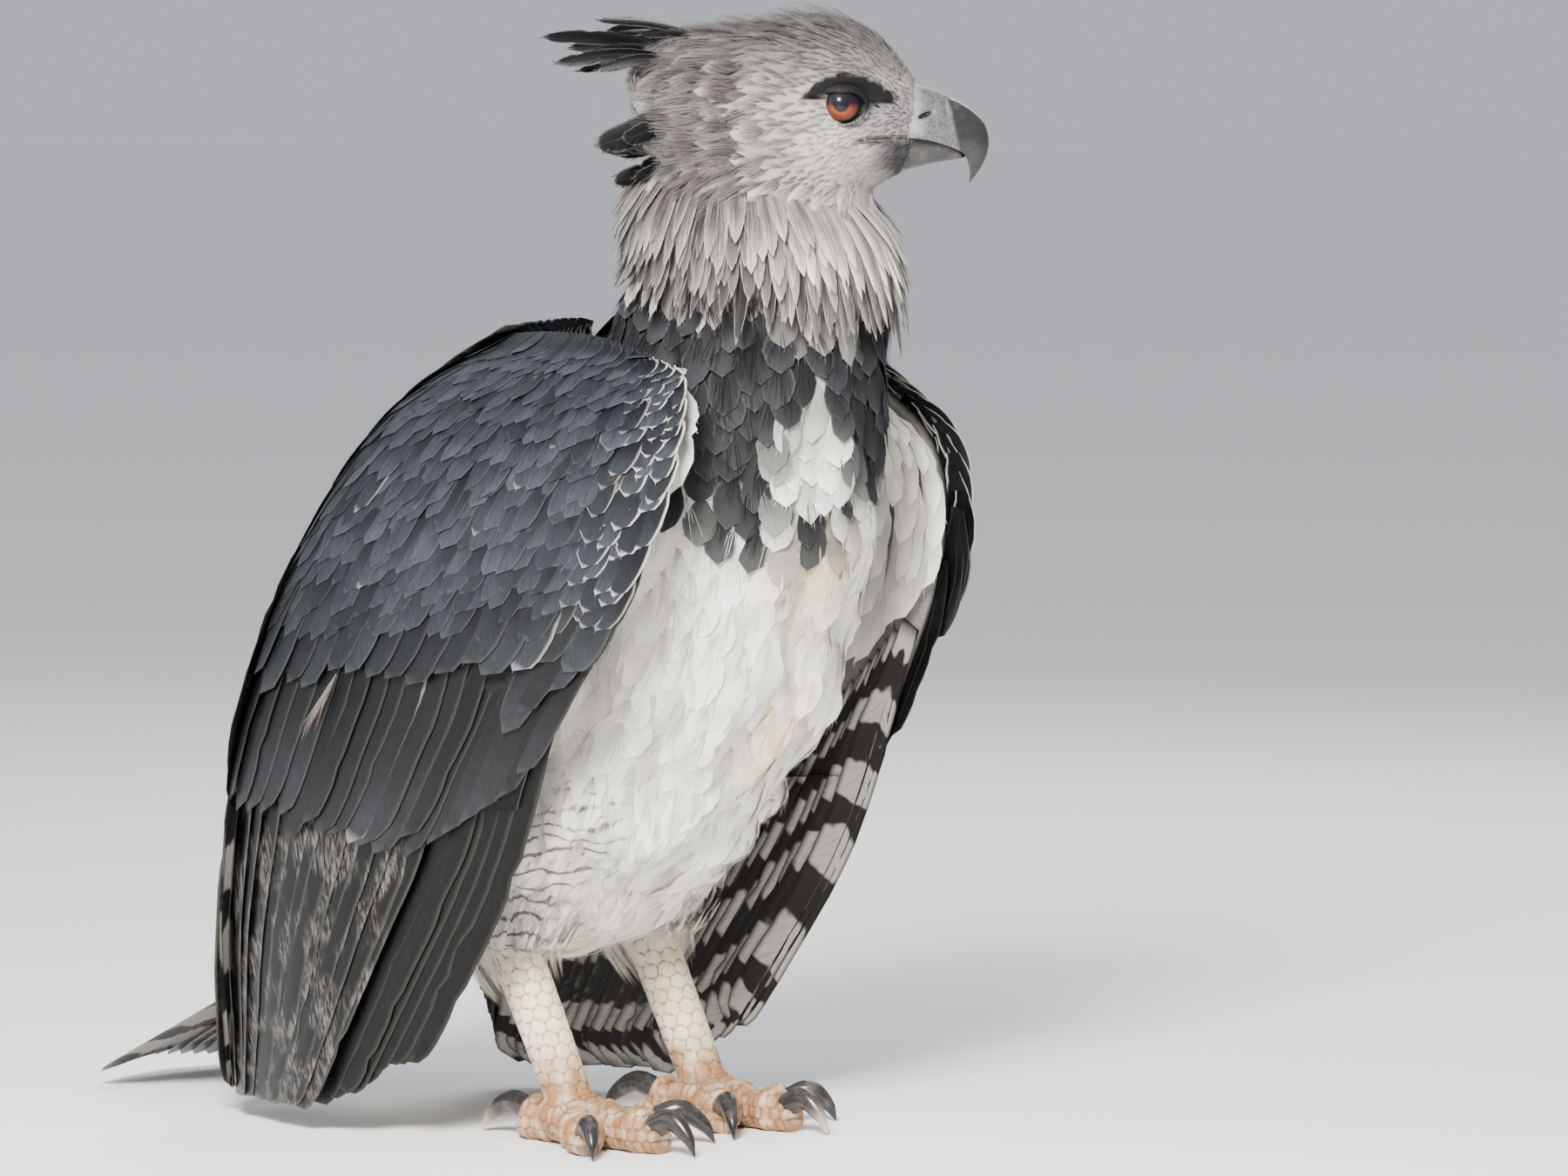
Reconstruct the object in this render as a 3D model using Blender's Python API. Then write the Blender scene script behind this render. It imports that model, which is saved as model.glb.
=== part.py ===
"""Harpy eagle, life-size, standing with its wings drooped and its head turned to its left.

The bird faces -Y, its left is +X, and the floor is at Z = 0. Lengths in the tables below are centimetres.
"""

import math

import bmesh
import bpy
import numpy as np
from mathutils import Matrix, Vector

CM = 0.01
GAP = 0.03
SIDES = {"R": -1, "L": 1}

# Stations of the trunk and neck, tail base first: belly (y, z), back (y, z), half width.
TRUNK = [
    ((13.5, 13.5), (17.8, 18.6), 3.8),
    ((9.0, 10.6), (17.0, 23.0), 5.6),
    ((2.5, 11.8), (15.0, 28.5), 7.7),
    ((-4.0, 15.5), (13.0, 34.0), 9.6),
    ((-9.5, 21.5), (10.6, 39.0), 10.2),
    ((-13.6, 28.0), (8.0, 43.5), 10.4),
    ((-16.4, 35.0), (5.0, 47.5), 10.2),
    ((-17.8, 42.0), (2.0, 51.0), 9.6),
    ((-18.2, 48.0), (-1.0, 54.4), 8.9),
    ((-18.4, 53.5), (-2.6, 57.4), 8.4),
    ((-18.0, 58.0), (-2.2, 60.4), 8.0),
    ((-16.4, 61.8), (-3.0, 63.6), 6.8),
    ((-13.6, 64.6), (-6.4, 65.4), 4.2),
]
# Planes that part the trunk: a point in the (y, z) plane and a normal that points into the named node.
HEAD_PLANE = ((-10.4, 61.8), (0.0, 1.0))
NECK_PLANE = ((-10.4, 56.0), (-0.24, 0.97))
BREAST_PLANE = ((-18.0, 40.0), (-0.45, 0.89))
MANTLE_PLANE = ((0.0, 52.0), (0.97, 0.24))

# The head turns about its own centre: local x runs out along the bill, y to its left, z up.
HEAD_CENTRE = (1.0, -11.4, 67.1)
HEAD_TURN = 40.0
# Stations of the head from nape to bill base: x, top z, bottom z, half width.
HEAD = [
    (-9.3, 2.2, -1.0, 1.6),
    (-8.6, 3.9, -4.6, 3.4),
    (-7.2, 4.9, -6.6, 4.8),
    (-5.0, 5.5, -7.8, 5.8),
    (-2.0, 5.8, -8.4, 6.2),
    (1.0, 5.9, -8.2, 5.7),
    (3.0, 5.7, -7.2, 4.9),
    (5.0, 5.1, -5.6, 4.1),
    (6.6, 4.2, -4.7, 3.4),
    (7.9, 3.1, -4.1, 2.7),
    (8.7, 1.9, -3.6, 2.1),
]
# Crest feathers in the head's frame: root, tip, half width.
CREST = [
    ((-6.4, 1.4, 3.4), (-15.5, 2.2, 4.5), 0.75),
    ((-6.4, -1.6, 3.0), (-14.6, -2.6, 2.8), 0.7),
    ((-4.2, -0.8, 4.2), (-12.0, -1.2, 5.6), 0.75),
    ((-4.4, 1.8, 4.2), (-11.4, 3.4, 4.9), 0.7),
    ((-7.0, 2.6, 1.0), (-12.8, 4.6, 0.8), 0.8),
    ((-7.0, -2.6, 0.4), (-11.9, -4.2, -2.3), 1.0),
    ((-7.0, 1.2, -1.2), (-11.9, 1.8, -2.4), 0.9),
    ((-7.0, -1.8, -2.4), (-10.8, -2.8, -4.6), 0.8),
    ((-6.6, 2.4, -3.0), (-10.6, 3.6, -4.9), 0.8),
]
PLUME_BOW = 0.5
EYE = (3.75, 3.45, 0.55)
EYE_RADIUS = 1.32
LID_RADIUS = 1.16
LID_THICK = 0.2
LID_STEPS = 12
LID_SIDES = 4
BROW = (3.6, 3.9, 2.1)

# Stations of the bill, base first: top (x, z), bottom (x, z), half width.
BILL_UPPER = [
    ((7.2, 2.3), (6.0, -1.85), 2.0),
    ((8.9, 1.65), (7.8, -1.9), 1.75),
    ((10.2, 1.1), (9.2, -2.0), 1.5),
    ((11.5, 0.45), (10.4, -2.3), 1.2),
    ((12.5, -0.45), (11.2, -2.7), 0.95),
    ((13.1, -1.6), (11.6, -3.0), 0.75),
    ((13.0, -3.0), (11.75, -3.5), 0.5),
    ((12.6, -4.1), (11.85, -4.2), 0.28),
    ((12.1, -4.9), (11.9, -4.85), 0.08),
]
BILL_LOWER = [
    ((5.2, -2.0), (5.6, -4.1), 1.8),
    ((7.5, -2.0), (7.6, -3.9), 1.5),
    ((9.2, -2.1), (9.3, -3.65), 1.2),
    ((10.4, -2.4), (10.5, -3.45), 0.85),
    ((11.3, -3.0), (11.35, -3.3), 0.35),
]
NOSTRIL = (8.7, 1.75, -0.3)

# Rails run down the right wing from its top edge to the feather tips, leading edge first.
RAILS = [
    [(-11.5, -12.5, 50.5), (-14.6, -15.0, 45.5), (-16.0, -12.0, 36.5), (-16.2, -6.5, 27.0),
     (-15.2, -1.9, 17.6), (-14.0, 5.4, 8.3), (-13.2, 10.6, 2.4)],
    [(-10.5, -6.0, 52.3), (-16.4, -6.0, 45.5), (-18.2, -2.5, 36.5), (-18.2, 2.6, 26.5),
     (-16.8, 7.6, 16.5), (-15.0, 13.0, 7.0), (-14.0, 16.0, 1.6)],
    [(-8.8, 0.0, 52.6), (-15.8, 2.5, 46.2), (-18.3, 7.0, 37.0), (-18.0, 12.0, 26.5),
     (-16.4, 16.5, 15.5), (-14.0, 20.0, 6.0), (-12.8, 21.6, 1.3)],
    [(-7.0, 4.6, 52.4), (-12.8, 10.2, 46.8), (-15.0, 16.2, 37.4), (-15.0, 21.2, 26.5),
     (-13.6, 24.2, 15.0), (-11.6, 26.0, 6.0), (-10.6, 26.6, 1.3)],
    [(-2.4, 2.4, 53.2), (-2.4, 7.2, 46.4), (-2.8, 11.2, 39.2), (-3.6, 15.2, 30.6),
     (-5.6, 21.0, 20.6), (-7.6, 26.2, 9.4), (-8.4, 27.8, 1.6)],
]
# How far the left wing's tips swing forward and out, as a share of their drop below the shoulder.
LEFT_SWING = 0.11
LEFT_FLARE = 0.03
LEFT_DRAW = 2.6
SHOULDER_Z = 50.0
SHOULDER = (-8.8, -4.4, 46.2)
SHOULDER_RADII = (3.8, 5.6, 4.6)
# The arm lies below the feathers' surface, down to ARM_TO of the wing's length.
ARM_DEPTH = 0.35
ARM_THICK = 1.9
ARM_END_THICK = 0.7
ARM_TO = 0.6
ARM_ROWS = 6
ARM_INSET = 0.02
# The seam between wing and scapular feathers, as a share of the way from leading edge to rear edge.
SEAM = 0.8
SEAM_GAP = 0.004

# Vanes' outlines: share of the length, and share of the half width there.
LONG_VANE = [(0.0, 0.5), (0.3, 0.9), (0.62, 1.0), (0.86, 0.8), (1.0, 0.22)]
SHORT_VANE = [(0.0, 0.5), (0.45, 1.0), (0.8, 0.85), (1.0, 0.25)]
VANE_THICK = 0.07
RUFF_FEATHERS = 11
RUFF_HALF = 3.0
RUFF_TIERS = [
    {"offset": 0.0, "root": 0.84, "tip": 0.715, "lifts": (-0.5, 1.4)},
    {"offset": 0.5, "root": 0.85, "tip": 0.765, "lifts": (-0.5, 1.7)},
]
VANE_TILT = 0.08
RUFF_TILT = 0.12

# Tiers of vanes: first and last root, first and last tip, half width, and lift at root and tip, in cm.
WING_TIERS = {
    "primaries": {
        "count": 6, "roots": ((0.05, 0.4), (0.16, 0.5)), "tips": ((0.05, 0.9), (0.28, 0.99)),
        "half_width": 1.9, "lifts": (-1.2, -0.9), "stack": 0.08, "outline": LONG_VANE,
    },
    "secondaries": {
        "count": 10, "roots": ((0.2, 0.5), (0.77, 0.42)), "tips": ((0.34, 0.99), (0.77, 0.99)),
        "half_width": 1.7, "lifts": (-0.7, 0.1), "outline": LONG_VANE, "tilt": 0.16,
    },
    "primary coverts": {
        "count": 3, "roots": ((0.04, 0.3), (0.14, 0.34)), "tips": ((0.05, 0.54), (0.18, 0.6)),
        "half_width": 1.6, "lifts": (-0.8, 0.1),
    },
    "greater coverts": {
        "count": 8, "roots": ((0.23, 0.36), (0.76, 0.34)), "tips": ((0.27, 0.6), (0.76, 0.55)),
        "half_width": 2.0, "lifts": (-0.8, 0.2),
    },
    "median coverts": {
        "count": 8, "roots": ((0.06, 0.22), (0.75, 0.26)), "tips": ((0.06, 0.4), (0.75, 0.45)),
        "half_width": 2.1, "lifts": (-0.8, 0.25),
    },
    "lower lesser coverts": {
        "count": 8, "roots": ((0.06, 0.14), (0.73, 0.19)), "tips": ((0.06, 0.3), (0.73, 0.36)),
        "half_width": 2.1, "lifts": (-0.8, 0.3),
    },
    "upper lesser coverts": {
        "count": 7, "roots": ((0.07, 0.05), (0.72, 0.1)), "tips": ((0.07, 0.2), (0.72, 0.27)),
        "half_width": 2.2, "lifts": (-0.8, 0.3),
    },
}
SCAPULAR_TIERS = {
    "tertials": {
        "count": 4, "roots": ((0.83, 0.42), (0.97, 0.42)), "tips": ((0.83, 0.97), (0.96, 0.9)),
        "half_width": 1.8, "lifts": (-0.7, 0.15), "outline": LONG_VANE,
    },
    "long scapulars": {
        "count": 3, "roots": ((0.84, 0.28), (0.96, 0.28)), "tips": ((0.84, 0.55), (0.96, 0.52)),
        "half_width": 1.9, "lifts": (-0.8, 0.2),
    },
    "middle scapulars": {
        "count": 3, "roots": ((0.84, 0.16), (0.95, 0.16)), "tips": ((0.84, 0.4), (0.95, 0.38)),
        "half_width": 1.8, "lifts": (-0.8, 0.25),
    },
    "short scapulars": {
        "count": 3, "roots": ((0.84, 0.04), (0.94, 0.04)), "tips": ((0.84, 0.25), (0.94, 0.24)),
        "half_width": 1.7, "lifts": (-0.8, 0.3),
    },
}

# The tail leaves the trunk's last station and slopes to the floor.
TAIL_BASE = (0.0, 15.6, 16.6)
TAIL_LENGTH = 33.0
TAIL_TIP_Z = 0.35
TAIL_HALF_BASE = 3.4
TAIL_HALF_TIP = 6.6
TAIL_ARCH = 0.5
TAIL_STACK = 1.2
TAIL_ROUNDING = 0.12
TAIL_FEATHERS = 12
# The tail's fleshy root: share of the tail's length, and thickness.
TAIL_ROOT = [(-0.08, 3.0), (0.05, 2.4), (0.15, 1.5), (0.25, 0.6)]

# Right leg; the left one is its mirror image.
LEG_TOP = (-5.0, -2.0, 31.0)
HIP = (-6.2, 0.0, 25.0)
KNEE = (-6.6, 3.2, 18.0)
ANKLE = (-6.6, 5.2, 12.6)
HEEL = (-6.6, 0.4, 3.0)
FOOT_TOP_Z = 3.3
ACROSS = (1.0, 0.0, 0.0)
TOES = {
    "2": {"turn": 38.0, "length": 6.0, "claw": 5.6, "thick": 1.3},
    "3": {"turn": 0.0, "length": 7.6, "claw": 5.0, "thick": 1.35},
    "4": {"turn": -40.0, "length": 6.2, "claw": 4.4, "thick": 1.2},
    "1": {"turn": 176.0, "length": 4.4, "claw": 7.0, "thick": 1.35},
}

COLOURS = {
    "plumage_slate": ((0.075, 0.08, 0.09), 0.7),
    "plumage_grey": ((0.38, 0.37, 0.37), 0.8),
    "plumage_white": ((0.78, 0.75, 0.69), 0.85),
    "scaled_skin": ((0.66, 0.55, 0.36), 0.6),
    "horn": ((0.06, 0.06, 0.065), 0.3),
    "eye": ((0.33, 0.1, 0.03), 0.08),
}


def clear_scene():
    for obj in list(bpy.data.objects):
        bpy.data.objects.remove(obj)


def make_material(name):
    colour, roughness = COLOURS[name]
    material = bpy.data.materials.new(name)
    material.use_nodes = True
    shader = material.node_tree.nodes["Principled BSDF"]
    shader.inputs["Base Color"].default_value = (*colour, 1.0)
    shader.inputs["Roughness"].default_value = roughness
    shader.inputs["Metallic"].default_value = 0.0
    return material


def make_object(name, points, faces, smooth=True):
    """A mesh object from points in centimetres."""
    mesh = bpy.data.meshes.new(name)
    mesh.from_pydata([tuple(CM * c for c in p) for p in points], [], faces)
    if smooth:
        mesh.shade_smooth()
    obj = bpy.data.objects.new(name, mesh)
    bpy.context.scene.collection.objects.link(obj)
    return obj


def through(points, t):
    """Catmull-Rom curve through the points, with t from 0 to 1 along the whole of it."""
    points = np.asarray(points, float)
    last = len(points) - 1
    at = min(max(t, 0.0), 1.0) * last
    i = min(int(at), last - 1)
    f = at - i
    before = points[i - 1] if i > 0 else 2 * points[0] - points[1]
    after = points[i + 2] if i + 2 <= last else 2 * points[last] - points[last - 1]
    a, b = points[i], points[i + 1]
    return 0.5 * (
        2 * a
        + (b - before) * f
        + (2 * before - 5 * a + 4 * b - after) * f**2
        + (3 * a - before - 3 * b + after) * f**3
    )


def loft(name, rings):
    """A closed solid through rings of points, with its ends closed by fans."""
    rings = [np.asarray(r, float) for r in rings]
    sides = len(rings[0])
    points = [p for ring in rings for p in ring]
    faces = []
    for k in range(len(rings) - 1):
        for j in range(sides):
            a, b = k * sides + j, k * sides + (j + 1) % sides
            faces.append((a, b, b + sides, a + sides))
    for start, flip in ((0, True), ((len(rings) - 1) * sides, False)):
        centre = len(points)
        points.append(np.mean(points[start:start + sides], axis=0))
        for j in range(sides):
            a, b = start + j, start + (j + 1) % sides
            faces.append((b, a, centre) if flip else (a, b, centre))
    obj = make_object(name, points, faces)
    face_outwards(obj)
    return obj


def face_outwards(obj):
    """Splits the object's faces into triangles and turns them all outwards."""
    mesh = bmesh.new()
    mesh.from_mesh(obj.data)
    bmesh.ops.triangulate(mesh, faces=mesh.faces)
    bmesh.ops.recalc_face_normals(mesh, faces=mesh.faces)
    mesh.to_mesh(obj.data)
    mesh.free()


def ball(name, centre, radii, segments=16, rings=10):
    bpy.ops.mesh.primitive_uv_sphere_add(segments=segments, ring_count=rings, radius=CM)
    obj = bpy.context.active_object
    obj.name = name
    obj.data.transform(Matrix.Diagonal((*radii, 1.0)))
    obj.data.transform(Matrix.Translation(Vector(centre) * CM))
    obj.data.shade_smooth()
    face_outwards(obj)
    return obj


def apply_modifiers(obj):
    graph = bpy.context.evaluated_depsgraph_get()
    mesh = bpy.data.meshes.new_from_object(obj.evaluated_get(graph))
    obj.modifiers.clear()
    obj.data = mesh


def boolean(obj, others, operation, solver="EXACT"):
    """Applies one Boolean on a collection of the other objects, then removes them."""
    tools = bpy.data.collections.new(obj.name + "_tools")
    for other in others:
        for holder in other.users_collection:
            holder.objects.unlink(other)
        tools.objects.link(other)
    bpy.context.scene.collection.children.link(tools)
    modifier = obj.modifiers.new("join", "BOOLEAN")
    modifier.operation = operation
    modifier.solver = solver
    modifier.operand_type = "COLLECTION"
    modifier.collection = tools
    bpy.context.view_layer.update()
    apply_modifiers(obj)
    for other in others:
        bpy.data.objects.remove(other)
    bpy.data.collections.remove(tools)
    return obj


def grown(obj, by=GAP):
    """A copy of the object, grown along its normals, to cut a neighbour clear of it."""
    copy = bpy.data.objects.new(obj.name + "_grown", obj.data.copy())
    bpy.context.scene.collection.objects.link(copy)
    normals = [v.normal.copy() for v in copy.data.vertices]
    for vertex, normal in zip(copy.data.vertices, normals):
        vertex.co += normal * by * CM
    return copy


def cut_clear(obj, neighbours, solver="MANIFOLD"):
    boolean(obj, [grown(n) for n in neighbours], "DIFFERENCE", solver)
    keep_largest(obj)


def keep_largest(obj):
    """Leaves the object's largest closed surface."""
    mesh = bmesh.new()
    mesh.from_mesh(obj.data)
    drop_small_shells(mesh)
    bmesh.ops.remove_doubles(mesh, verts=mesh.verts, dist=1e-6)
    drop_small_shells(mesh)
    mesh.to_mesh(obj.data)
    mesh.free()
    obj.data.shade_smooth()
    obj.data.set_sharp_from_angle(angle=math.radians(50))


def drop_small_shells(mesh):
    """Deletes all faces but those of the widest shell, where a shell is joined across edges of two faces."""
    seen, shells = set(), []
    for start in mesh.faces:
        if start in seen:
            continue
        shell, todo = [], [start]
        seen.add(start)
        while todo:
            face = todo.pop()
            shell.append(face)
            for edge in face.edges:
                if len(edge.link_faces) != 2:
                    continue
                for other in edge.link_faces:
                    if other not in seen:
                        seen.add(other)
                        todo.append(other)
        shells.append(shell)
    largest = max(shells, key=spread)
    loose = [face for shell in shells if shell is not largest for face in shell]
    bmesh.ops.delete(mesh, geom=loose, context="FACES")


def spread(shell):
    co = np.array([vertex.co for face in shell for vertex in face.verts])
    return float(np.prod(co.max(0) - co.min(0) + 1e-6))


def keep_side(obj, point, normal):
    """Cuts the object by a plane and keeps the side that the normal points to, closed."""
    mesh = bmesh.new()
    mesh.from_mesh(obj.data)
    everything = mesh.verts[:] + mesh.edges[:] + mesh.faces[:]
    cut = bmesh.ops.bisect_plane(
        mesh, geom=everything, plane_co=Vector(point) * CM, plane_no=Vector(normal), clear_inner=True
    )
    edges = [e for e in cut["geom_cut"] if isinstance(e, bmesh.types.BMEdge)]
    bmesh.ops.holes_fill(mesh, edges=edges)
    mesh.to_mesh(obj.data)
    mesh.free()
    face_outwards(obj)


def copy_of(obj, name):
    copy = bpy.data.objects.new(name, obj.data.copy())
    bpy.context.scene.collection.objects.link(copy)
    return copy


def head_to_bird(point):
    """A point of the head's own frame, in the bird's frame."""
    turn = math.radians(HEAD_TURN - 90)
    x, y, z = point
    forward = (math.cos(turn), math.sin(turn))
    left = (-math.sin(turn), math.cos(turn))
    return (
        HEAD_CENTRE[0] + x * forward[0] + y * left[0],
        HEAD_CENTRE[1] + x * forward[1] + y * left[1],
        HEAD_CENTRE[2] + z,
    )


def oval_point(belly, back, half_width, angle, square=2.3):
    """A point of a ring through the belly and back points, which lie in the (y, z) plane."""
    belly, back = np.array(belly, float), np.array(back, float)
    c, s = math.cos(angle), math.sin(angle)
    across = math.copysign(abs(s) ** (2 / square), s)
    along = math.copysign(abs(c) ** (2 / square), c)
    y, z = (belly + back) / 2 + (back - belly) / 2 * along
    return half_width * across, y, z


def station(table, t):
    flat = [(*a, *b, w) for a, b, w in table]
    ay, az, by, bz, w = through(flat, t)
    return (ay, az), (by, bz), w


def trunk_point(u, v):
    """The trunk's surface: u goes once round from the back over the bird's left, v from tail base to head."""
    belly, back, half_width = station(TRUNK, v)
    return np.array(oval_point(belly, back, half_width, 2 * math.pi * u))


def part_off(rest, name, plane):
    """Cuts the named node off the rest by a plane, with a thin gap between the two."""
    (y, z), (ny, nz) = plane
    node = copy_of(rest, name)
    keep_side(node, (0, y + GAP * ny, z + GAP * nz), (0, ny, nz))
    keep_side(rest, (0, y, z), (0, -ny, -nz))
    for obj in (node, rest):
        keep_largest(obj)
    return node


def make_flesh():
    """Trunk, neck and head modelled whole, then parted into nodes."""
    torso = loft("torso", [[trunk_point(j / 20, k / 20) for j in range(20)] for k in range(21)])
    shoulders = [ball("shoulder", mirrored(SHOULDER, side), SHOULDER_RADII, 12, 7) for side in SIDES.values()]
    boolean(torso, [make_skull(), *shoulders], "UNION")
    head = part_off(torso, "head", HEAD_PLANE)
    neck = part_off(torso, "neck", NECK_PLANE)
    mantle = part_off(torso, "mantle", MANTLE_PLANE)
    breast = part_off(torso, "breast", BREAST_PLANE)
    return head, neck, mantle, breast, torso


def head_ring(x, top, bottom, width, count):
    """A section of the head: narrow crown, full cheeks, with a socket behind each brow."""
    ring = []
    middle = (top + bottom) / 2 + 0.6
    for k in range(count):
        angle = 2 * math.pi * k / count
        c, s = math.cos(angle), math.sin(angle)
        reach = top - middle if c > 0 else middle - bottom
        z = middle + reach * c
        y = width * math.copysign(abs(s) ** 0.9, s)
        y *= 1 - 0.12 * max(0.0, c)
        y -= math.copysign(socket_depth(x, z), s) if abs(s) > 0.2 else 0.0
        ring.append(head_to_bird((x, y, z)))
    return ring


def socket_depth(x, z):
    """How far the face draws in round the eye and the lores, less the brow's overhang."""
    eye = math.exp(-(((x - EYE[0] - 0.7) / 2.0) ** 2) - ((z - EYE[2]) / 1.3) ** 2)
    brow = math.exp(-(((x - BROW[0]) / 2.4) ** 2) - ((z - BROW[2]) / 0.8) ** 2)
    return 0.75 * eye - 0.35 * brow


def make_skull():
    """The head out to its feathers, with the lids round its eyes."""
    rings = []
    for k in range(17):
        x, top, bottom, width = through(HEAD, k / 16)
        rings.append(head_ring(x, top, bottom, width, 20))
    skull = loft("skull", rings)
    return boolean(skull, [make_lid(side) for side in SIDES.values()], "UNION")


def plume(root, tip, half_width):
    """A crest feather, flat and bowed upwards a little, from root to tip in the head's frame."""
    root, tip = np.array(root), np.array(tip)
    along = (tip - root) / np.linalg.norm(tip - root)
    normal = np.cross(along, (0.0, 1.0, 0.0)) + np.array((0.0, math.copysign(0.9, root[1]), 0.0))
    normal -= along * np.dot(normal, along)
    normal /= np.linalg.norm(normal)
    across = np.cross(along, normal)
    rings = []
    for f, share in LONG_VANE:
        centre = root + (tip - root) * f + np.array((0, 0, PLUME_BOW)) * math.sin(math.pi * f)
        rings.append([
            head_to_bird(centre + across * half_width * share * way + normal * VANE_THICK * half)
            for way, half in ((-1, 0.5), (-1, -0.5), (1, -0.5), (1, 0.5))
        ])
    return loft("plume", rings)


def make_ruff(neck):
    """Rows of broad feathers round the neck, which hang over the breast and the mantle."""
    feathers = []
    for row in RUFF_TIERS:
        for k in range(RUFF_FEATHERS):
            u = (k + row["offset"]) / RUFF_FEATHERS
            root, tip = (u, row["root"]), (u, row["tip"])
            feathers.append(vane(trunk_point, root, tip, RUFF_HALF, row["lifts"], flip=-1, tilt=RUFF_TILT))
    boolean(neck, feathers, "UNION", "MANIFOLD")


def make_eye(letter, side):
    centre = head_to_bird((EYE[0], side * EYE[1], EYE[2]))
    return ball(f"eye_{letter}", centre, (EYE_RADIUS,) * 3, 12, 8)


def make_lid(side):
    """A rim of skin round the eye."""
    rings = []
    outward = EYE[1] + math.sqrt(EYE_RADIUS**2 - LID_RADIUS**2)
    for k in range(LID_STEPS):
        a = 2 * math.pi * k / LID_STEPS
        ring = []
        for j in range(LID_SIDES):
            b = 2 * math.pi * j / LID_SIDES
            r = LID_RADIUS + 0.1 + LID_THICK * math.cos(b)
            y = outward - 0.25 + 2.2 * LID_THICK * math.sin(b)
            ring.append(head_to_bird((EYE[0] + r * math.cos(a), side * y, EYE[2] + r * math.sin(a))))
        rings.append(ring)
    points = [p for ring in rings for p in ring]
    faces = []
    for k in range(LID_STEPS):
        here, ahead = k * LID_SIDES, (k + 1) % LID_STEPS * LID_SIDES
        for j in range(LID_SIDES):
            after = (j + 1) % LID_SIDES
            faces.append((here + j, here + after, ahead + after, ahead + j))
    obj = make_object("lid", points, faces)
    face_outwards(obj)
    return obj


def bill_ring(top, bottom, width, count=10):
    (tx, tz), (bx, bz) = top, bottom
    ring = []
    for k in range(count):
        angle = 2 * math.pi * k / count
        c, s = math.cos(angle), math.sin(angle)
        f = (1 + c) / 2
        ring.append(head_to_bird((bx + (tx - bx) * f, width * s, bz + (tz - bz) * f)))
    return ring


def make_bill(name, table, steps):
    rings = []
    for k in range(steps + 1):
        top, bottom, width = station(table, k / steps)
        rings.append(bill_ring(top, bottom, width))
    return loft(name, rings)


def wing_point(t, h, side=-1):
    """The wing's outer surface: t from leading edge to rear edge, h from top edge to tips."""
    rail = [through(points, h) for points in RAILS]
    x, y, z = through(rail, t)
    if side > 0:
        drop = max(0.0, SHOULDER_Z - z)
        x = -x + LEFT_FLARE * drop
        y += LEFT_DRAW * math.exp(-(((z - SHOULDER_Z) / 7) ** 2)) - LEFT_SWING * drop
    return np.array((x, y, z))


def wing_normal(t, h, side=-1):
    """Points out of the wing, away from the trunk."""
    step = 0.01
    t0, t1 = max(t - step, 0.0), min(t + step, 1.0)
    h0, h1 = max(h - step, 0.0), min(h + step, 1.0)
    across = wing_point(t1, h, side) - wing_point(t0, h, side)
    down = wing_point(t, h1, side) - wing_point(t, h0, side)
    normal = np.cross(across, down) * -side
    return normal / np.linalg.norm(normal)


def wing_slab(name, side, t_from, t_to, columns):
    """The arm and its flesh, under the feathers: thick at the top edge, thin where only vanes go on."""
    rings = []
    for k in range(ARM_ROWS + 1):
        f = k / ARM_ROWS
        h = ARM_TO * f
        thick = ARM_THICK + (ARM_END_THICK - ARM_THICK) * f
        outer, inner = [], []
        for j in range(columns + 1):
            t = t_from + (t_to - t_from) * j / columns
            point, normal = wing_point(t, h, side), wing_normal(t, h, side)
            outer.append(point - normal * ARM_DEPTH)
            inner.append(point - normal * (ARM_DEPTH + thick))
        rings.append(outer + inner[::-1])
    return loft(name, rings)


def surface_frame(surface, u, v):
    """A point of a surface and its normal, across u by down v."""
    step = 0.01
    across = surface(u + step, v) - surface(u - step, v)
    down = surface(u, v + step) - surface(u, v - step)
    normal = np.cross(across, down)
    return surface(u, v), normal / np.linalg.norm(normal), np.linalg.norm(across) / (2 * step)


def vane(surface, root, tip, half_width, lifts, outline=SHORT_VANE, flip=1, limits=(-9.0, 9.0),
         tilt=VANE_TILT):
    """A flat feather that follows a surface from root to tip, both (u, v), and rises above it by the lifts."""
    rings = []
    for f, share in outline:
        u, v = (a + (b - a) * f for a, b in zip(root, tip))
        lift = lifts[0] + (lifts[1] - lifts[0]) * f**0.8
        reach = half_width * share
        scale = surface_frame(surface, u, v)[2]
        ring = []
        for way in (-1, 1):
            edge = min(max(u + way * reach / scale, limits[0]), limits[1])
            point, normal, _ = surface_frame(surface, edge, v)
            raised = lift - way * tilt * reach
            ring.append(point + flip * normal * (raised + VANE_THICK / 2))
            ring.append(point + flip * normal * (raised - VANE_THICK / 2))
        rings.append([ring[0], ring[1], ring[3], ring[2]])
    return loft("vane", rings)


def tier(surface, count, roots, tips, half_width, lifts, stack=0.0, **settings):
    """A row of vanes, from the first root and tip to the last, each stacked a little above the one before."""
    vanes = []
    for k in range(count):
        f = k / (count - 1)
        root, tip = (tuple(a + (b - a) * f for a, b in zip(*ends)) for ends in (roots, tips))
        raised = [lift + stack * k for lift in lifts]
        vanes.append(vane(surface, root, tip, half_width, raised, **settings))
    return vanes


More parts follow.
